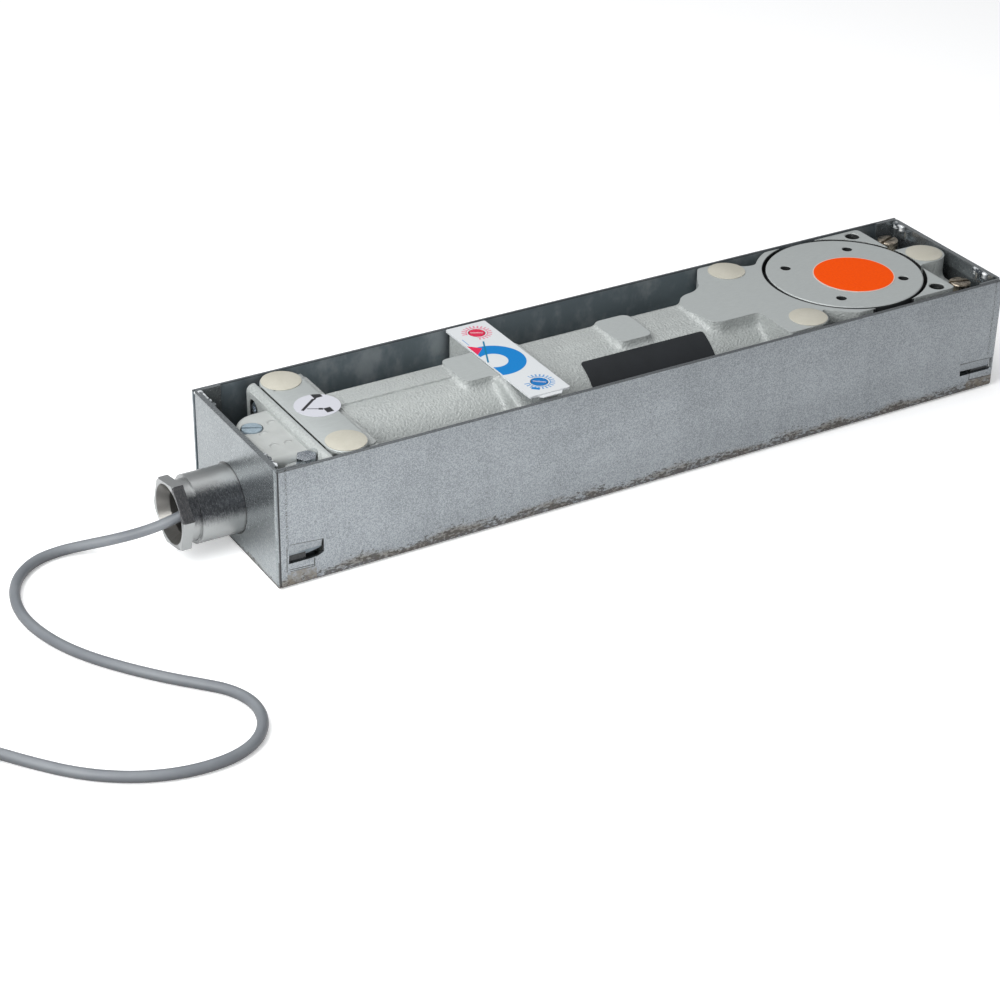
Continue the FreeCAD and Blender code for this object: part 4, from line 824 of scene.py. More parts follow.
class Palette:
    """Makes each finish once: by the record's slot, or by name for pieces with their own."""

    def __init__(self) -> None:
        """Work out what the prints need from the frame and build all finishes."""
        (box_x0, box_y0, _), (box_x1, box_y1, _) = corners("box_channel")
        far_x, far_y, _ = spot("closing_speed_valve")
        near_x, near_y, _ = spot("latching_speed_valve")
        screw_x, screw_y, _ = spot("cover_screw")
        bridge_x = corners("bridge_plate")[0].x
        inner, row, behind = 1.04, 4.0, 3.0
        slots = {
            Slot.SHEET: SheetFinish("galvanised", inside=(box_y0 + inner, box_y1 - inner),
                                    ends=(box_x0 + row, box_x1 - row)),
            # the casting: painted shade in the pocket, ear holes, pin hole, windows and seam
            Slot.CAST: CastFinish(
                "grey_casting", shaded_hollows=((0.0, 0.0, 40.8), (30.6, 33.5, 3.6), (30.6, -33.5, 3.6),
                                      (-298.5, 23.1, 0.9)),
                hollow_shade_top=56.9, arches=((27.0, 48.6), (-20.0, 49.8)),
                arch_x=corners("hold_open_housing")[0].x + 12.9,
                seam=(bridge_x - 0.9, bridge_x + 0.02)),
            Slot.STEEL: MetalFinish("ground_steel", srgb(190, 192, 196), srgb(140, 143, 148)),
            Slot.ZINC: MetalFinish("zinc_plate", srgb(236, 242, 248), srgb(150, 160, 170), 0.26),
            Slot.BRONZED: MetalFinish("yellow_passivated", srgb(214, 202, 184), srgb(92, 84, 74),
                                      0.32, 0.9, blotch=0.5, depth=0.15),
            Slot.NICKEL: MetalFinish("nickel", srgb(205, 203, 198), srgb(150, 148, 142), 0.26,
                                     0.35, (8.0, 1.0, 1.0), blotch=0.3),
            Slot.COPPER: MetalFinish("enamelled_wire", srgb(196, 110, 60), srgb(130, 62, 30),
                                     0.35),
            Slot.PAD: SoftFinish("cream_pad", srgb(184, 181, 169), srgb(176, 173, 160), 0.6, 0.8,
                                 0.03, edge=0.1),
            Slot.ORANGE: StickerFinish("orange_film", *spot("spindle_seal_sticker")),
            Slot.WHITE: PlateFinish("instruction_print", far_x, far_y, near_y,
                                    corners("instruction_plate")[0].x),
            Slot.LABEL: SoftFinish("label_film", srgb(23, 27, 31), srgb(17, 21, 25), 0.5, 0.7),
            Slot.LILAC: PictogramFinish("sign_film", *spot("pictogram_sticker")[:2]),
            Slot.RED: HeadFinish("red_lacquer", srgb(206, 36, 76), srgb(192, 26, 64), far_x,
                                 far_y, -28.0),
            Slot.BLUE: HeadFinish("blue_lacquer", srgb(6, 112, 180), srgb(2, 98, 164), near_x,
                                  near_y, -40.0),
            Slot.PLASTIC: SoftFinish("moulded_white", srgb(190, 193, 191), srgb(180, 183, 181),
                                     0.35, 0.9, 0.02),
            Slot.RUBBER: SoftFinish("black_rubber", srgb(30, 30, 32), srgb(22, 22, 24), 0.6),
            Slot.CORD: CordFinish("cord_sheath"),
            Slot.CORES: MetalFinish("tinned_strands", srgb(206, 140, 96), srgb(160, 92, 56),
                                    0.35),
        }
        # the end plates: painted shade on the rims, round the gland and low between the plates
        end_plate = SheetFinish("galvanised_plate", srgb(158, 163, 165), srgb(130, 136, 139),
                                grain=1.0, rough=0.24, dirt_height=3.5, ring=(3.0, 21.7, 15.7),
                                rim_shade=0.2, behind=(box_x0 + behind, box_x1 - behind)).make()
        named = {
            "cover_shell": CoverFinish("moulded_cover"),
            # its slot is painted near black as shade
            "cover_screw_head": HeadFinish("cover_screw_zinc", srgb(150, 166, 176),
                                           srgb(120, 134, 144), screw_x, screw_y, -25.0,
                                           srgb(18, 22, 26)),
            "gland_sleeve": GlandFinish("turned_gland"),
            # the nut: one painted reflection tone per face
            "gland_nut": GlandFinish("gland_hexagon", dark=srgb(78, 78, 80), faces=60.0),
            # the disc: painted shade in its grooves and holes below the top
            "cover_disc": CastFinish("machined_disc", machined_z=50.0, shaded_hollows=((0.0, 0.0, 60.0),),
                                     hollow_shade_top=corners("cover_disc")[1].z - 0.35),
            "end_clips": MetalFinish("clip_steel", srgb(236, 240, 242), srgb(60, 66, 72), 0.22,
                                     1.4, blotch=1.0, depth=0.1, metal=0.35),
        }
        self.slots = {slot: finish.make() for slot, finish in slots.items()}
        self.named = {name: finish.make() for name, finish in named.items()}
        self.named.update(gland_end_plate=end_plate, spindle_end_plate=end_plate)

    def of(self, slot: Slot, name: str = "") -> bpy.types.Material:
        """The finish of one slot, or the named piece's own where it has one."""
        return self.named.get(name, self.slots[slot])


class Bench:
    """Models pieces by operators, as by hand. All sizes come in millimetres."""

    def clear(self) -> None:
        """Leave edit mode and deselect everything."""
        if bpy.context.object and bpy.context.object.mode != "OBJECT":
            bpy.ops.object.mode_set(mode="OBJECT")
        bpy.ops.object.select_all(action="DESELECT")

    def hold(self, piece: bpy.types.Object) -> None:
        """Make one object the only selected and the active one."""
        self.clear()
        piece.select_set(True)
        bpy.context.view_layer.objects.active = piece

    def settle(self, piece: bpy.types.Object) -> bpy.types.Object:
        """Bake an object's place into its mesh."""
        self.hold(piece)
        bpy.ops.object.transform_apply(location=True, rotation=True, scale=True)
        return piece

    def block(self, name: str, low: Triple, high: Triple) -> bpy.types.Object:
        """Add a block between two corners.

        Args:
            name: the piece's name.
            low: lowest corner.
            high: highest corner.

        Returns:
            The block, settled.
        """
        self.clear()
        middle = [(a + b) / 2 * MM for a, b in zip(low, high)]
        bpy.ops.mesh.primitive_cube_add(size=1.0, location=middle)
        piece = bpy.context.object
        piece.name = piece.data.name = name
        piece.scale = [(b - a) * MM for a, b in zip(low, high)]
        return self.settle(piece)

    def round(self, name: str, radius: float, low: Triple, length: float, along: str = "Z",
              sides: int = 64, spin: float = 0.0, top_radius: Optional[float] = None
              ) -> bpy.types.Object:
        """Add a cylinder or a cone.

        Args:
            name: the piece's name.
            radius: radius at the low end.
            low: middle of the low end.
            length: length towards plus of the axis.
            along: X, Y or Z.
            sides: number of sides.
            spin: turn round its own axis in degrees.
            top_radius: radius at the high end, the same where it isn't given.

        Returns:
            The piece, settled.
        """
        self.clear()
        top = radius if top_radius is None else top_radius
        bpy.ops.mesh.primitive_cone_add(vertices=sides, radius1=radius * MM, radius2=top * MM,
                                        depth=length * MM, rotation=(0, 0, math.radians(spin)))
        piece = bpy.context.object
        piece.name = piece.data.name = name
        self.settle(piece)
        quarter = math.pi / 2
        piece.rotation_euler = {"X": (0, quarter, 0), "Y": (-quarter, 0, 0), "Z": (0, 0, 0)}[along]
        way = {"X": (1, 0, 0), "Y": (0, 1, 0), "Z": (0, 0, 1)}[along]
        piece.location = [(p + w * length / 2) * MM for p, w in zip(low, way)]
        return self.settle(piece)

    def prism(self, name: str, outline: Sequence[tuple[float, float]], low: float, high: float,
              along: str = "Z") -> bpy.types.Object:
        """Draw an outline corner by corner and extrude it.

        Args:
            name: the piece's name.
            outline: pairs of the two coordinates across the extrusion, in the order x, y, z.
            low: start of the extrusion.
            high: its end.
            along: the axis that it runs along.

        Returns:
            The piece.
        """
        self.clear()
        order = {"X": lambda a, b: (low, a, b), "Y": lambda a, b: (a, low, b),
                 "Z": lambda a, b: (a, b, low)}[along]
        corners = [Vector(order(a, b)) * MM for a, b in outline]
        rise = [(high - low) * MM if axis == along else 0.0 for axis in "XYZ"]
        bpy.ops.mesh.primitive_plane_add(size=MM, location=(0, 0, 0))
        piece = bpy.context.object
        piece.name = piece.data.name = name
        with self.editing(piece):
            bpy.ops.mesh.select_mode(type="VERT")
            bpy.ops.mesh.select_all(action="SELECT")
            bpy.ops.mesh.merge(type="CENTER")
            bpy.ops.transform.translate(value=corners[0])
            for start, end in zip(corners, corners[1:] + corners[:1]):
                bpy.ops.mesh.extrude_region_move(
                    TRANSFORM_OT_translate={"value": tuple(end - start)})
            bpy.ops.mesh.select_all(action="SELECT")
            bpy.ops.mesh.remove_doubles(threshold=1e-6)
            bpy.ops.mesh.edge_face_add()
            bpy.ops.mesh.extrude_region_move(
                TRANSFORM_OT_translate={"value": rise})
            bpy.ops.mesh.select_all(action="SELECT")
            bpy.ops.mesh.normals_make_consistent(inside=False)
        return piece

    def round_uprights(self, piece: bpy.types.Object, width: float,
                       test: Optional[Callable[[Vector], bool]] = None,
                       segments: int = 6) -> bpy.types.Object:
        """Round the upright edges of a piece, all of them or those whose middle passes a test."""
        with self.editing(piece):
            self.pick_edges(piece, lambda middle, way: abs(way.z) > 0.99
                            and (test is None or test(middle)))
            self.bevel(width, segments)
        return piece

    def unite(self, piece: bpy.types.Object, *others: bpy.types.Object) -> bpy.types.Object:
        """Fuse others into a piece."""
        self.cut(piece, *others, operation="UNION")
        return piece

    @contextmanager
    def editing(self, piece: bpy.types.Object) -> Iterator[None]:
        """Edit mode on one piece with nothing selected."""
        self.hold(piece)
        bpy.ops.object.mode_set(mode="EDIT")
        bpy.ops.mesh.select_all(action="DESELECT")
        yield
        bpy.ops.object.mode_set(mode="OBJECT")

    def pick_edges(self, piece: bpy.types.Object, test: Callable[[Vector, Vector], bool]) -> None:
        """Select the edges whose middle (in millimetres) and direction pass a test."""
        bpy.ops.mesh.select_mode(type="EDGE")
        mesh = bmesh.from_edit_mesh(piece.data)
        for edge in mesh.edges:
            first, last = (v.co for v in edge.verts)
            edge.select_set(test((first + last) / 2 / MM, (last - first).normalized()))
        mesh.select_flush_mode()
        bmesh.update_edit_mesh(piece.data)

    def bevel(self, width: float, segments: int = 3) -> None:
        """Round the selected edges."""
        bpy.ops.mesh.bevel(offset=width * MM, segments=segments, affect="EDGES",
                           clamp_overlap=True)

    def apply(self, piece: bpy.types.Object, kind: str, **settings: object) -> None:
        """Add one modifier and apply it."""
        self.hold(piece)
        made = piece.modifiers.new(kind.lower(), kind)
        for key, value in settings.items():
            setattr(made, key, value)
        bpy.ops.object.modifier_apply(modifier=made.name)

    def soften(self, piece: bpy.types.Object, width: float, segments: int = 3,
               angle: float = 35.0) -> None:
        """Round every sharp edge with the Bevel modifier."""
        self.apply(piece, "BEVEL", width=width * MM, segments=segments, limit_method="ANGLE",
                   angle_limit=math.radians(angle), harden_normals=False)

    def cut(self, piece: bpy.types.Object, *tools: bpy.types.Object,
            operation: str = "DIFFERENCE") -> None:
        """Cut a piece by tools, which are used up."""
        for tool in tools:
            self.apply(piece, "BOOLEAN", operation=operation, object=tool, solver="EXACT")
            bpy.data.objects.remove(tool, do_unlink=True)

    def weld(self, pieces: Sequence[bpy.types.Object], name: str = "") -> bpy.types.Object:
        """Join pieces into the first one, and name it where a name is given."""
        self.hold(pieces[0])
        for other in pieces[1:]:
            other.select_set(True)
        bpy.ops.object.join()
        if name:
            pieces[0].name = pieces[0].data.name = name
        return pieces[0]

    def smooth(self, piece: bpy.types.Object, angle: float = 40.0) -> None:
        """Shade smooth up to an angle between faces."""
        self.hold(piece)
        bpy.ops.object.shade_smooth_by_angle(angle=math.radians(angle))


@dataclass
class SubAssembly:
    """A group of pieces, with the helper that finishes a new piece and hangs it on its body."""

    frame: dict
    palette: Palette
    bench: Bench

    def place(self, piece: bpy.types.Object, angle: float, slot: Slot, *replaced: str,
              own: str = "") -> bpy.types.Object:
        """Smooth and finish a new piece and hang it on the box, which all new pieces ride on.

        Args:
            piece: the modelled object.
            angle: up to which angle between faces it is shaded smooth, not at all where 0.
            slot: the record's slot of its finish.
            replaced: CAD nodes that it stands for.
            own: name of its own finish of the same slot.

        Returns:
            The piece.
        """
        if angle:
            self.bench.smooth(piece, angle)
        piece.data.materials.clear()
        piece.data.materials.append(self.palette.of(slot, own))
        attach(piece, "box")
        if replaced:
            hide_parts(*replaced)
        LOG.info("built %s", piece.name)
        return piece


@dataclass
class ControlCord(SubAssembly):
    """The grey cord: the free run in the picture, then its put-away coil and tail."""

    diameter: float = 4.8
    coil_centre: tuple[float, float] = (-526.0, -92.0)
    ring_step: float = 4.8
    rings: tuple[float, float, float] = (31.6, 26.8, 22.0)
    start_turn: float = 110.0
    step: float = 20.0
    shift_turns: float = 40.0
    lead_turn: float = -45.7
    end_turn: float = 2340.0
    tail_x: float = -557.6
    tail_end_y: float = -126.0
    length: float = 1531.0
    route: tuple[Triple, ...] = (
        (-337.7, 3.0, 21.7), (-345.5, 3.0, 21.7), (-353.5, 3.3, 19.4), (-361.5, 7.3, 14.8),
        (-370.0, 12.8, 10.2), (-380.0, 19.0, 6.4), (-391.0, 24.6, 3.8), (-402.8, 27.8, 2.4),
        (-414.8, 25.4, 2.4), (-425.0, 17.4, 2.4), (-431.8, 6.0, 2.4), (-435.2, -8.0, 2.4),
        (-434.8, -23.5, 2.4), (-430.2, -41.0, 2.4), (-422.4, -56.8, 2.4), (-411.4, -72.6, 2.4),
        (-400.2, -86.2, 2.4), (-390.8, -96.0, 2.4), (-382.4, -105.2, 2.4), (-377.8, -117.6, 2.4),
        (-379.7, -130.7, 2.4), (-387.4, -141.4, 2.4), (-399.3, -147.2, 2.4), (-413.5, -148.0, 2.4),
        (-428.0, -145.2, 2.4), (-442.5, -138.6, 2.4), (-456.5, -128.0, 2.4), (-469.0, -113.5, 2.4),
        (-480.8, -97.4, 2.4), (-492.6, -82.8, 2.4), (-506.0, -69.5, 2.4), (-524.0, -61.2, 2.4))

    def coil_points(self) -> list[Triple]:
        """Points of the coil: nine places in a three by three bundle, one after the other."""
        places = [(0, 0), (1, 0), (2, 0), (2, 1), (1, 1), (1, 2), (0, 2), (0, 1), (0, 0)]
        points = []
        turn = self.start_turn + self.step
        while turn <= self.end_turn + 0.01:
            ring, layer = places[0]
            for k in range(len(places) - 1):
                begin = 360 * k + 90 + self.lead_turn * k
                share = min(max((turn - begin) / self.shift_turns + 0.5, 0.0), 1.0)
                share = share * share * (3 - 2 * share)
                ring += (places[k + 1][0] - places[k][0]) * share
                layer += (places[k + 1][1] - places[k][1]) * share
            radius = self.rings[0] - ring * self.ring_step
            angle = math.radians(turn)
            points.append((self.coil_centre[0] + radius * math.cos(angle),
                           self.coil_centre[1] + radius * math.sin(angle),
                           self.diameter / 2 + layer * self.ring_step))
            turn += self.step
        return points

    def build(self) -> None:
        points = [tuple(c * MM for c in p) for p in self.route]
        points += [tuple(c * MM for c in p) for p in self.coil_points()]
        last_y = points[-1][1] / MM
        steps = 4
        for k in range(1, steps + 1):
            points.append((self.tail_x * MM, (last_y + (self.tail_end_y - last_y) * k / steps) * MM,
                           self.diameter / 2 * MM))
        curve = bpy.data.curves.new("control_cord", "CURVE")
        curve.dimensions = "3D"
        curve.bevel_depth = self.diameter / 2 * MM
        curve.bevel_resolution = 6
        curve.resolution_u = 8
        curve.use_fill_caps = True
        spline = curve.splines.new("NURBS")
        spline.points.add(len(points) - 1)
        for slot, point in zip(spline.points, points):
            slot.co = (*point, 1.0)
        spline.order_u = 3
        spline.use_endpoint_u = True
        cord = bpy.data.objects.new("control_cord", curve)
        bpy.context.scene.collection.objects.link(cord)
        self.place(cord, 0.0, Slot.CORD, "cord_tube", "cord_coil", "cord_tail")
        LOG.info("cord of %d points", len(points))


@dataclass
class CementBox(SubAssembly):
    """The folded channel with its lanced tongues."""

    sheet: float = 1.25
    bend: float = 2.0
    lean: float = 12.0
    windows: tuple = (
        ((-325.8, 20.9), (-309.4, 19.4), (-309.4, 13.4), (-310.6, 12.6), (-312.4, 12.0),
         (-316.3, 11.7), (-326.3, 11.8)),
        ((41.6, 16.5), (61.6, 15.6), (61.6, 10.4), (60.2, 9.7), (42.3, 10.0)))
    tongues: tuple = (
        ((-325.8, 21.1), (-310.2, 19.7), (-310.2, 15.8), (-311.4, 15.0), (-316.2, 13.9),
         (-321.0, 13.6), (-325.9, 13.8)),
        ((41.8, 16.7), (60.9, 15.8), (60.9, 12.0), (59.6, 11.3), (50.0, 11.8), (42.0, 12.2)))

    def tongue(self, outline: tuple, wall_y: float, inward: int) -> bpy.types.Object:
        """The tongue, hinged on its upper edge and pressed in below.

        Args:
            outline: x and z of its corners, the hinge first.
            wall_y: middle of the wall.
            inward: plus or minus one along Y.

        Returns:
            The piece.
        """
        hinge = outline[0][1]
        piece = self.bench.prism("tongue", [(x, z - hinge) for x, z in outline],
                                 -self.sheet / 2, self.sheet / 2, "Y")
        piece.rotation_euler = (math.radians(self.lean * inward), 0, 0)
        piece.location = (0, wall_y * MM, hinge * MM)
        return self.bench.settle(piece)

    def build(self) -> None:
        """Make the channel with its four lances."""
        low, high = corners("box_channel")
        bench = self.bench
        channel = bench.block("cement_box", tuple(low), tuple(high))
        hollow = bench.block("hollow", (low.x - 5, low.y + self.sheet, low.z + self.sheet),
                             (high.x + 5, high.y - self.sheet, high.z + 5))
        for piece, width in ((channel, self.bend), (hollow, self.bend - self.sheet)):
            with bench.editing(piece):
                bench.pick_edges(piece, lambda m, w: abs(w.x) > 0.9 and m.z < self.sheet + 0.5)
                bench.bevel(width, 6)
        bench.cut(channel, hollow)
        tongues = []
        for wall_y, inward in ((low.y + self.sheet / 2, 1), (high.y - self.sheet / 2, -1)):
            for window, tongue in zip(self.windows, self.tongues):
                bench.cut(channel, bench.prism("window", list(window), wall_y - 2, wall_y + 2, "Y"))
                tongues.append(self.tongue(tongue, wall_y, inward))
        bench.soften(channel, 0.18, 2)
        bench.weld([channel, *tongues])
        self.place(channel, 30.0, Slot.SHEET, "box_channel")


@dataclass
class CastBody(SubAssembly):
    """The hydraulic body: rough casting with soft flanks, then its machined faces and bores."""

    base: float = 5.0
    top: float = 57.3
    over: float = 4.0
    radius: float = 32.1
    arch_z: float = 23.0
    bore_z: float = 29.5
    bore: float = 20.0
    left: float = -279.0
    half: float = 38.9
    voxel: float = 1.1
    passes: int = 9
    plate_x: float = -192.3
    plate_half: float = 11.0
    valve_x: float = -191.5
    valve_y: Pair = (29.0, -26.8)
    pocket: float = 40.4
    pocket_z: float = 50.8
    ears_x: float = 37.9
    lug: Pair = (49.5, -0.5)
    lug_z: float = 46.8
    rib_z: Pair = (45.0, 56.0)
    near_web: tuple[Pair, ...] = ((0, 20), (-37.2, 20), (-37.2, 49.3), (-16.7, 56.9), (0, 56.9))
    neck: tuple[Pair, ...] = (
        (-91.3, 8.2), (-86.9, 15.1), (-83.1, 17.2), (-77.1, 18.1), (-71.4, 21.7), (-67.7, 28.7),
        (-63.4, 35.0), (-60.6, 38.9), (-49.8, 38.9), (-39.0, 30.0), (-30.0, 28.0),
        (-30.0, -27.0), (-37.0, -27.0), (-45.3, -40.7), (-62.4, -40.7), (-62.4, -15.5),
        (-84.1, -15.5), (-88.5, -12.9), (-90.9, -0.7))
    cove: tuple[Pair, ...] = ((30.0, -13.6), (47.0, -13.6), (50.5, -10.4), (50.5, 9.4),
                              (47.0, 12.6), (30.0, 12.6))

    def rough(self) -> list[bpy.types.Object]:
        """Overlapping primitives of the raw casting, with tops left high for machining.

        Returns:
            The pieces.
        """
        bench, high = self.bench, self.top + self.over
        barrel = bench.round("barrel", self.radius, (self.left, 0, self.arch_z), -self.left, "X",
                             128)
        skirt = bench.block("skirt", (self.left, -self.radius, self.base),
                            (0, self.radius, self.arch_z))
        bench.cut(barrel, bench.block("below", (self.left - 5, -60, self.base - 30),
                                      (5, 60, self.base)))
        pads = [bench.round_uprights(bench.block("pad", (x0, -10.9, 48), (x1, y1, high)), 3.4)
                for x0, x1, y1 in ((-220.2, -180.6, 13.5), (-137.8, -119.4, 13.2))]
        web = bench.block("far_web", (-202.6, 0, 20), (-183.7, 37.3, high))
        bench.round_uprights(web, 2.4, lambda m: m.y > 30)
        near = bench.prism("near_web", self.near_web, -205.7, -183.7, "X")
        boss = bench.round("boss", 6.05, (self.valve_x, self.valve_y[1], 20), 36.7, "Z", 32)
        neck = bench.prism("neck", self.neck, self.bore_z, high)
        lugs = [bench.round("lug", radius, (x, y, z), high - z)
                for radius, x, y, z in ((9.6, -45.3, -31.3, self.bore_z),
                                        (9.4, -49.8, 29.5, self.bore_z),
                                        (10.0, *self.lug, self.lug_z))]
        drum = bench.round("drum", 43.7, (0, 0, self.base), high - self.base, "Z", 128)
        room = bench.block("room", (-60, -self.half, 0), (self.ears_x, self.half, high + 5))
        bench.cut(drum, room, operation="INTERSECT")
        ears = bench.block("ears", (5, -self.half, 41.3), (self.ears_x, self.half, high))
        bench.round_uprights(ears, 1.8)
        bridge = bench.block("lug_neck", (20, -10.4, self.lug_z), (self.lug[0], 9.4, high))
        cove = bench.prism("lug_cove", self.cove, 44.0, 49.5)
        foot = bench.block("foot", (0, -37.0, 39.8), (57.0, 37.0, self.lug_z))
        bench.round_uprights(foot, 2.5)
        crest = bench.block("crest", (self.plate_x, -0.6, self.rib_z[0]),
                            (-79.0, 13.4, self.rib_z[1]))
        return [barrel, skirt, *pads, web, near, boss, neck, *lugs, drum, ears, bridge, cove, foot,
                crest]

    def machining(self) -> bpy.types.Object:
        """One cutter of everything that is turned, bored and milled.

        Returns:
            The cutter.
        """
        bench = self.bench
        cutter = bench.block("milling", (-300, -60, self.top), (80, 60, self.top + 20))
        reach = self.top + 1
        rounds = [
            (self.pocket, (0, 0, self.pocket_z), reach - self.pocket_z, "Z", 160),
            (29.0, (0, 0, 43.3), 8.5, "Z", 96), (28.0, (0, 0, 17.1), 27.2, "Z", 96),
            (12.0, (0, 0, 10.1), 8.0, "Z", 64),
            (self.bore, (self.left - 1, 0, self.bore_z), -self.left, "X", 128),
            (22.0, (self.left - 1, 0, self.bore_z), 18.0, "X", 96),
            (21.3, (-191.0, 0, self.bore_z), 2.0, "X", 96),
        ]
        for y in self.valve_y:
            rounds += [(3.92, (self.valve_x, y, 53.1), 5.0, "Z", 48),
                       (2.66, (self.valve_x, y, 33.1), 21.0, "Z", 32)]
        for side in (-1, 1):
            rounds += [(3.4, (30.6, 33.5 * side, 43.3), reach - 43.3, "Z", 48),
                       (2.8, (50.6, 0.9 + 28.4 * side, 30.0), 20.0, "Z", 32),
                       (3.02, (0, 33.6 * side, 0.0), 11.0, "Z", 32),
                       (3.02, (-268.0, 27.4 * side, 0.0), 11.0, "Z", 32),
                       (2.42, (self.left - 1, 24.5 * side, 35.0), 11.0, "X", 32)]
        tools = [bench.round("bore", *row) for row in rounds]
        tools += [bench.round("sink", 3.4, (30.6, 33.5 * side, self.top - 0.6), 0.7, "Z", 48,
                              top_radius=4.1) for side in (-1, 1)]
        tools.append(bench.block("recess", (self.plate_x - self.plate_half, -50, 56.7),
                                 (self.plate_x + self.plate_half, 50, reach)))
        return bench.unite(cutter, *tools)

    def build(self) -> None:
        """Cast and machine the body, then lay the rib along its crest."""
        bench = self.bench
        body = bench.weld(self.rough(), "closer_body")
        bench.apply(body, "REMESH", mode="VOXEL", voxel_size=self.voxel * MM, adaptivity=0.0)
        bench.apply(body, "SMOOTH", factor=0.5, iterations=self.passes)
        bench.cut(body, self.machining())
        rib = bench.block("rib", (self.left, -0.6, self.rib_z[0]),
                          (self.plate_x, 11.7, self.rib_z[1]))
        bench.cut(rib, bench.round("core", self.bore, (self.left - 1, 0, self.bore_z), -self.left,
                                   "X", 64))
        bench.soften(rib, 0.7, 4)
        bench.weld([body, rib])
        self.place(body, 38.0, Slot.CAST, "closer_housing")


@dataclass
class HoldOpenUnit(SubAssembly):
    """Cast unit at the gland end with its bridge and the cover over the terminals.

    The bolts are given by their step across, their height and their counterbore's radius.
    """

    shoulder: float = 12.5
    windows: tuple[Pair, ...] = ((27.0, 48.6), (-20.0, 49.8))
    window_radius: float = 4.2
    window_drop: float = 5.0
    bolts: Triple = (24.5, 35.0, 4.8)
    bore_z: float = 29.5
    foot_z: float = 50.4
    foot_screw: Pair = (-310.8, -32.65)
    pin: Pair = (-298.5, 23.1)
    cover_screw: Pair = (-319.9, 1.9)
    cover_wall: float = 1.5

    def casting(self) -> None:
        """Make the unit's casting: body, shoulder, lip, foot, windows and bores."""
        bench = self.bench
        low, high = corners("hold_open_housing")
        face = low.x + self.shoulder
        body = bench.block("hold_open_unit", (face, -38.0, 5.0), (high.x, 33.0, 55.6))
        bench.round_uprights(body, 3.0)
        shoulder = bench.block("shoulder", (face, -43.1, 41.6), (face + 4.2, 34.0, high.z))
        with bench.editing(shoulder):
            bench.pick_edges(shoulder, lambda m, w: abs(w.y) > 0.9 and m.z > 50
                             and m.x < face + 1)
            bench.bevel(3.4, 6)
        bench.round_uprights(shoulder, 2.2, lambda m: m.y > 20 and m.x < face + 1)
        lip = bench.block("lip", (-283.4, -40.0, 49.6), (high.x, 36.5, 54.8))
        foot = bench.block("foot", (low.x, -41.8, 46.4), (face + 2, -28.1, self.foot_z))
        bench.round_uprights(foot, 2.8, lambda m: m.x < low.x + 1)
        bench.unite(body, shoulder, lip, foot)
        bench.soften(body, 0.7, 4, 30.0)
        tools = [bench.round("coil_bore", 15.1, (-299.0, 0, self.bore_z), 18.0, "X", 96),
                 bench.round("guide", 7.0, (-282.0, 0, self.bore_z), 4.5, "X", 64),
                 bench.round("foot_hole", 2.3, (*self.foot_screw, 44.0), 8.0),
                 bench.round("foot_pocket", 5.1, (*self.foot_screw, self.foot_z), 10.0)]
        for y, z in self.windows:
            half = self.window_radius
            hole = bench.round("window", half, (face - 2, y, z), 9.0, "X", 48)
            down = bench.block("down", (face - 2, y - half, z - self.window_drop),
                               (face + 7.0, y + half, z))
            tools += [bench.unite(hole, down),
                      bench.round("shank", 2.05, (face + 6.0, y, z), 11.5, "X", 32)]
        bolt_y, bolt_z, head = self.bolts
        for y in (-bolt_y, bolt_y):
            tools += [bench.round("counterbore", head, (face - 2, y, bolt_z), 6.0, "X", 32),
                      bench.round("bolt_hole", 2.45, (face, y, bolt_z), 30.0, "X", 32)]
        bench.cut(body, *tools)
        self.place(body, 35.0, Slot.CAST, "hold_open_housing")

    def bridge(self) -> None:
        """Make the bridge plate with round ends, soft edges and its small pin hole."""
        bench = self.bench
        low, high = corners("bridge_plate")
        plate = bench.block("bridge", tuple(low), tuple(high))
        bench.round_uprights(plate, (high.x - low.x) / 2 - 0.05, segments=14)
        bench.soften(plate, 0.35, 3, 50.0)
        bench.cut(plate, bench.round("pin_hole", 0.7, (*self.pin, low.z - 1), 5.0, "Z", 24))
        self.place(plate, 35.0, Slot.CAST, "bridge_plate")

    def cover(self) -> None:
        """Make the moulded cover: full corner, soft top, hollow below, recess for its screw."""
        bench, wall = self.bench, self.cover_wall
        low, high = corners("terminal_cover")
        cover = bench.block("terminal_cover_shell", tuple(low), tuple(high))
        bench.round_uprights(cover, 12.0, lambda m: m.x < low.x + 1 and m.y > 0, 12)
        bench.round_uprights(cover, 3.5, lambda m: m.x < low.x + 1 and m.y < -20, 8)
        with bench.editing(cover):
            bench.pick_edges(cover, lambda m, w: m.z > high.z - 0.01 and m.x < high.x - 0.5)
            bench.bevel(3.0, 7)
        hollow = bench.block("hollow", (low.x + wall, low.y + wall, low.z - 1),
                             (high.x - wall, self.cover_screw[1] - 6.1, high.z - 1.8))
        recess = bench.round("recess", 5.1, (*self.cover_screw, high.z - 2.6), 5.0)
        hole = bench.round("hole", 2.3, (*self.cover_screw, low.z - 1), 14.0)
        bench.cut(cover, hollow, recess, hole)
        self.place(cover, 35.0, Slot.PLASTIC, "terminal_cover", own="cover_shell")

    def build(self) -> None:
        """Make the three pieces."""
        self.casting()
        self.bridge()
        self.cover()


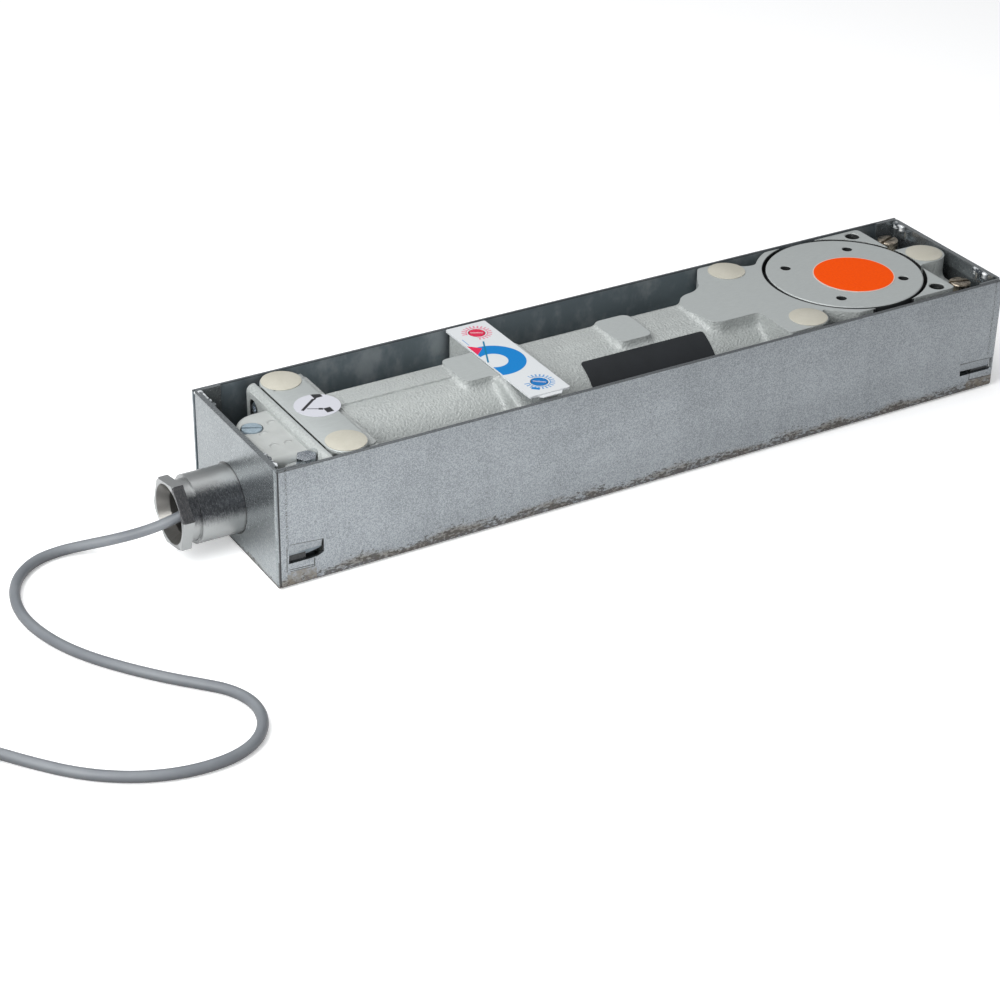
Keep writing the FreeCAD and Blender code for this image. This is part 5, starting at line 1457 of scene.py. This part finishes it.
@dataclass
class SmallPieces(SubAssembly):
    """Cream pads, the slotted screws and the two socket heads in the unit's windows.

    Each fixing screw is given by its place across and its slot's direction, the head by radius
    and height, the shank by radius, low end and length, a socket head by y and z.
    """

    pad_radius: float = 9.2
    pads: tuple[Triple, ...] = ((49.3, -0.5, 57.3), (-49.8, 29.5, 57.3), (-45.3, -31.3, 57.3),
                                (-292.25, -33.6, 57.6), (-292.25, 29.4, 57.6))
    screw_x: float = 50.6
    screws: tuple[Pair, ...] = ((-27.5, -20.0), (29.3, 20.0))
    screw_z: float = 47.8
    head: Pair = (5.4, 5.2)
    shank: Triple = (2.5, 31.8, 16.1)
    cover_turn: float = -25.0
    cover_head: float = 2.4
    sockets: tuple[Pair, ...] = ((27.0, 48.2), (-20.0, 49.4))
    socket_step: float = 13.0

    def slotted(self, head: bpy.types.Object, x: float, y: float, half: float, low: float,
                high: float, turn: float) -> None:
        """Cut the slot of a screw head.

        Args:
            head: the head.
            x, y: its middle.
            half: half the slot's width.
            low, high: the slot's bottom and a height over the head.
            turn: the slot's direction in degrees from X.
        """
        slot = self.bench.block("slot", (-8.0, -half, low), (8.0, half, high))
        slot.rotation_euler = (0, 0, math.radians(turn))
        slot.location = (x * MM, y * MM, 0)
        self.bench.cut(head, self.bench.settle(slot))

    def cream_pads(self) -> None:
        """Make the round pads that carry the cover."""
        bench = self.bench
        made = [bench.round("pad", self.pad_radius, place, 0.4, "Z", 72) for place in self.pads]
        for pad in made:
            bench.soften(pad, 0.14, 2)
        self.place(bench.weld(made, "cream_pads"), 40.0, Slot.PAD, "cover_pads")

    def fixing_screws(self) -> None:
        """Make the two tall slotted screws at the spindle end."""
        bench, made = self.bench, []
        radius, tall = self.head
        thin, low, length = self.shank
        for y, turn in self.screws:
            head = bench.round("fixing_screw", radius, (self.screw_x, y, self.screw_z), tall, "Z",
                               48)
            bench.soften(head, 0.9, 4)
            self.slotted(head, self.screw_x, y, 0.85, 51.2, 54.0, turn)
            shank = bench.round("shank", thin, (self.screw_x, y, low), length, "Z", 32)
            made.append(bench.unite(head, shank))
        self.place(bench.weld(made), 35.0, Slot.BRONZED, "fixing_screws")

    def cover_screw(self) -> None:
        """Make the slotted screw of the terminal cover."""
        bench, tall = self.bench, self.cover_head
        x, y, radius = spot("cover_screw")
        low, high = (corner.z for corner in corners("cover_screw"))
        head = bench.round("cover_screw_head", radius, (x, y, high - tall), tall, "Z", 48)
        bench.soften(head, 0.35, 3)
        self.slotted(head, x, y, 0.6, high - 1.2, high + 2, self.cover_turn)
        shank = bench.round("shank", 1.9, (x, y, low), high - low - tall + 0.1, "Z", 32)
        self.place(bench.unite(head, shank), 35.0, Slot.ZINC, "cover_screw",
                   own="cover_screw_head")

    def socket_heads(self) -> None:
        """Make the heads that show in the unit's windows."""
        bench, made = self.bench, []
        x = corners("hold_open_housing")[0].x + self.socket_step
        for y, z in self.sockets:
            head = bench.round("arch_screw", 3.2, (x, y, z), 2.4, "X", 36)
            bench.soften(head, 0.5, 3)
            bench.cut(head, bench.round("key", 1.5, (x - 1.5, y, z), 2.6, "X", 6))
            made.append(head)
        self.place(bench.weld(made), 35.0, Slot.ZINC)

    def build(self) -> None:
        """Make the pads and the screws."""
        self.cream_pads()
        self.fixing_screws()
        self.cover_screw()
        self.socket_heads()


@dataclass
class EndClips(SubAssembly):
    """Bent straps with formed knobs that grip the end plates' rims."""

    left: tuple[Pair, ...] = ((26.5, 38.8), (-39.0, -26.0))
    right: tuple[Pair, ...] = ((29.0, 37.0), (-35.5, -25.5))
    top: float = 58.0
    half: float = 1.8
    knob: float = 1.8
    rim: float = 1.9

    def clip(self, x: float, y0: float, y1: float, inward: int) -> list[bpy.types.Object]:
        """One strap with its two knobs.

        Args:
            x: middle of the rim.
            y0: its near end.
            y1: its far end.
            inward: plus or minus one along X.

        Returns:
            The pieces.
        """
        bench = self.bench
        strap = bench.block("strap", (x - self.half, y0, self.top - 1.5),
                            (x + self.half, y1, self.top - 0.15))
        bench.soften(strap, 0.45, 3)
        knobs = [bench.round("knob", self.knob, (x + 0.3 * inward, y, self.top - 3.4), 3.38, "Z",
                             24) for y in (y0 + self.knob, y1 - self.knob)]
        for knob in knobs:
            bench.soften(knob, 0.5, 3)
        return [strap, *knobs]

    def build(self) -> None:
        """Make the clips of both plates."""
        left = corners("gland_end_plate")[0].x + self.rim
        right = corners("spindle_end_plate")[1].x - self.rim
        pieces = [piece for x, inward, runs in ((left, 1, self.left), (right, -1, self.right))
                  for y0, y1 in runs for piece in self.clip(x, y0, y1, inward)]
        self.place(self.bench.weld(pieces, "end_clips"), 40.0, Slot.ZINC, own="end_clips")


@dataclass
class Studio:
    """Camera, lights, pale floor and a pure white surround."""

    azimuth: float = -31.0575
    elevation: float = 30.2626
    roll: float = 1.0378
    distance: float = 1156.45
    target: Triple = (-194.756, 0.0, -16.455)
    lens: float = 88.534
    sensor: float = 36.0
    clip: Pair = (0.05, 20.0)
    lit: Triple = (-150.0, 0.0, 30.0)
    sky: tuple = (0.90, 0.91, 0.93, 1.0)
    sky_strength: float = 0.42
    seen: tuple = (1.0, 1.0, 1.0, 1.0)
    floor_half: float = 2000.0
    floor_z: Pair = (-2.4, -0.4)
    floor_tone: tuple = (0.97, 0.97, 0.97, 1.0)
    floor_lift: tuple = (0.26, 0.26, 0.26, 1.0)
    side: int = 1000

    def aim(self) -> None:
        """Set the camera that was solved from the photo's edges."""
        az, el, roll = (math.radians(a) for a in (self.azimuth, self.elevation, self.roll))
        back = Vector((math.sin(az) * math.cos(el), -math.cos(az) * math.cos(el), math.sin(el)))
        place = (Vector(self.target) + back * self.distance) * MM
        right = (-back).cross(Vector((0, 0, 1))).normalized()
        up = right.cross(-back).normalized()
        right, up = (right * math.cos(roll) + up * math.sin(roll),
                     up * math.cos(roll) - right * math.sin(roll))
        data = bpy.data.cameras.new("view")
        data.lens, data.sensor_width = self.lens, self.sensor
        data.clip_start, data.clip_end = self.clip
        camera = bpy.data.objects.new("view", data)
        bpy.context.scene.collection.objects.link(camera)
        rotation = Matrix((right, up, back)).transposed().to_4x4()
        camera.matrix_world = Matrix.Translation(place) @ rotation
        bpy.context.scene.camera = camera

    def lamp(self, name: str, place: Triple, size: Pair, power: float, colour: Triple) -> None:
        """Add one softbox that faces the object.

        Args:
            name: its name.
            place: its middle.
            size: width and height.
            power: power in watts.
            colour: its light's colour.
        """
        data = bpy.data.lights.new(name, "AREA")
        data.shape = "RECTANGLE"
        data.size, data.size_y = size[0] * MM, size[1] * MM
        data.energy = power
        data.color = colour
        lamp = bpy.data.objects.new(name, data)
        bpy.context.scene.collection.objects.link(lamp)
        lamp.location = Vector(place) * MM
        way = Vector(self.lit) - Vector(place)
        lamp.rotation_euler = way.to_track_quat("-Z", "Y").to_euler()

    def light(self) -> None:
        """Place the lamps and the surround, which is white only where the camera sees it."""
        for row in (("top", (-500.0, 150.0, 1000.0), (1100.0, 800.0), 7.0, (1.0, 1.0, 1.0)),
                    ("left", (-1000.0, -300.0, 500.0), (500.0, 700.0), 7.4, (0.99, 1.0, 1.0)),
                    ("front", (-560.0, -950.0, 420.0), (700.0, 500.0), 2.6, (0.98, 0.99, 1.0))):
            self.lamp(*row)
        world = bpy.data.worlds.new("surround")
        bpy.context.scene.world = world
        world.use_nodes = True
        tree = world.node_tree
        light = next(n for n in tree.nodes if n.type == "BACKGROUND")
        out = next(n for n in tree.nodes if n.type == "OUTPUT_WORLD")
        seen, path, mix = (tree.nodes.new("ShaderNode" + kind)
                           for kind in ("Background", "LightPath", "MixShader"))
        light.inputs["Color"].default_value = self.sky
        light.inputs["Strength"].default_value = self.sky_strength
        seen.inputs["Color"].default_value = self.seen
        for source, target in ((path.outputs["Is Camera Ray"], mix.inputs["Fac"]),
                               (light.outputs["Background"], mix.inputs[1]),
                               (seen.outputs["Background"], mix.inputs[2]),
                               (mix.outputs["Shader"], out.inputs["Surface"])):
            tree.links.new(source, target)

    def floor(self, bench: Bench) -> None:
        """A plain pale floor that keeps the object's shadow."""
        half = self.floor_half
        floor = bench.block("floor", (-half, -half, self.floor_z[0]),
                            (half, half, self.floor_z[1]))
        graph = Graph("floor_white")
        graph.finish(self.floor_tone, 0.9, 0.0, specular=0.1)
        path = graph.node("ShaderNodeLightPath", {}, {})
        lift = graph.mix(Value(graph, path.outputs["Is Camera Ray"]), (0.0, 0.0, 0.0, 1.0),
                         self.floor_lift)
        graph.feed(graph.shader.inputs["Emission Color"], lift)
        graph.feed(graph.shader.inputs["Emission Strength"], 1.0)
        floor.data.materials.append(graph.material)

    def build(self, bench: Bench) -> None:
        """Set the whole stage."""
        self.aim()
        self.light()
        self.floor(bench)
        scene = bpy.context.scene
        scene.view_settings.view_transform = "Standard"
        scene.render.resolution_x = scene.render.resolution_y = self.side


@dataclass
class CadPieces(SubAssembly):
    """CAD nodes whose shape is right, dressed by their slot or with a finish of their own."""

    angle: float = 32.0

    def build(self) -> None:
        """Dress every node of the record."""
        for part in self.frame["record"]["subparts"]:
            node = part["node"]
            piece = self.frame["nodes"][node]
            piece.data.materials.clear()
            piece.data.materials.append(self.palette.of(Slot(part["material_slot"]), node))
            self.bench.smooth(piece, self.angle)
            LOG.info("dressed %s", node)


def main() -> None:
    """Build everything in order."""
    logging.basicConfig(level=logging.INFO, format="%(name)s: %(message)s")
    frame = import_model()
    bench = Bench()
    parts = (frame, Palette(), bench)
    for group in (CadPieces, CementBox, CastBody, HoldOpenUnit, SmallPieces, EndClips,
                  ControlCord):
        group(*parts).build()
    Studio().build(bench)


if __name__ == "__main__":
    main()
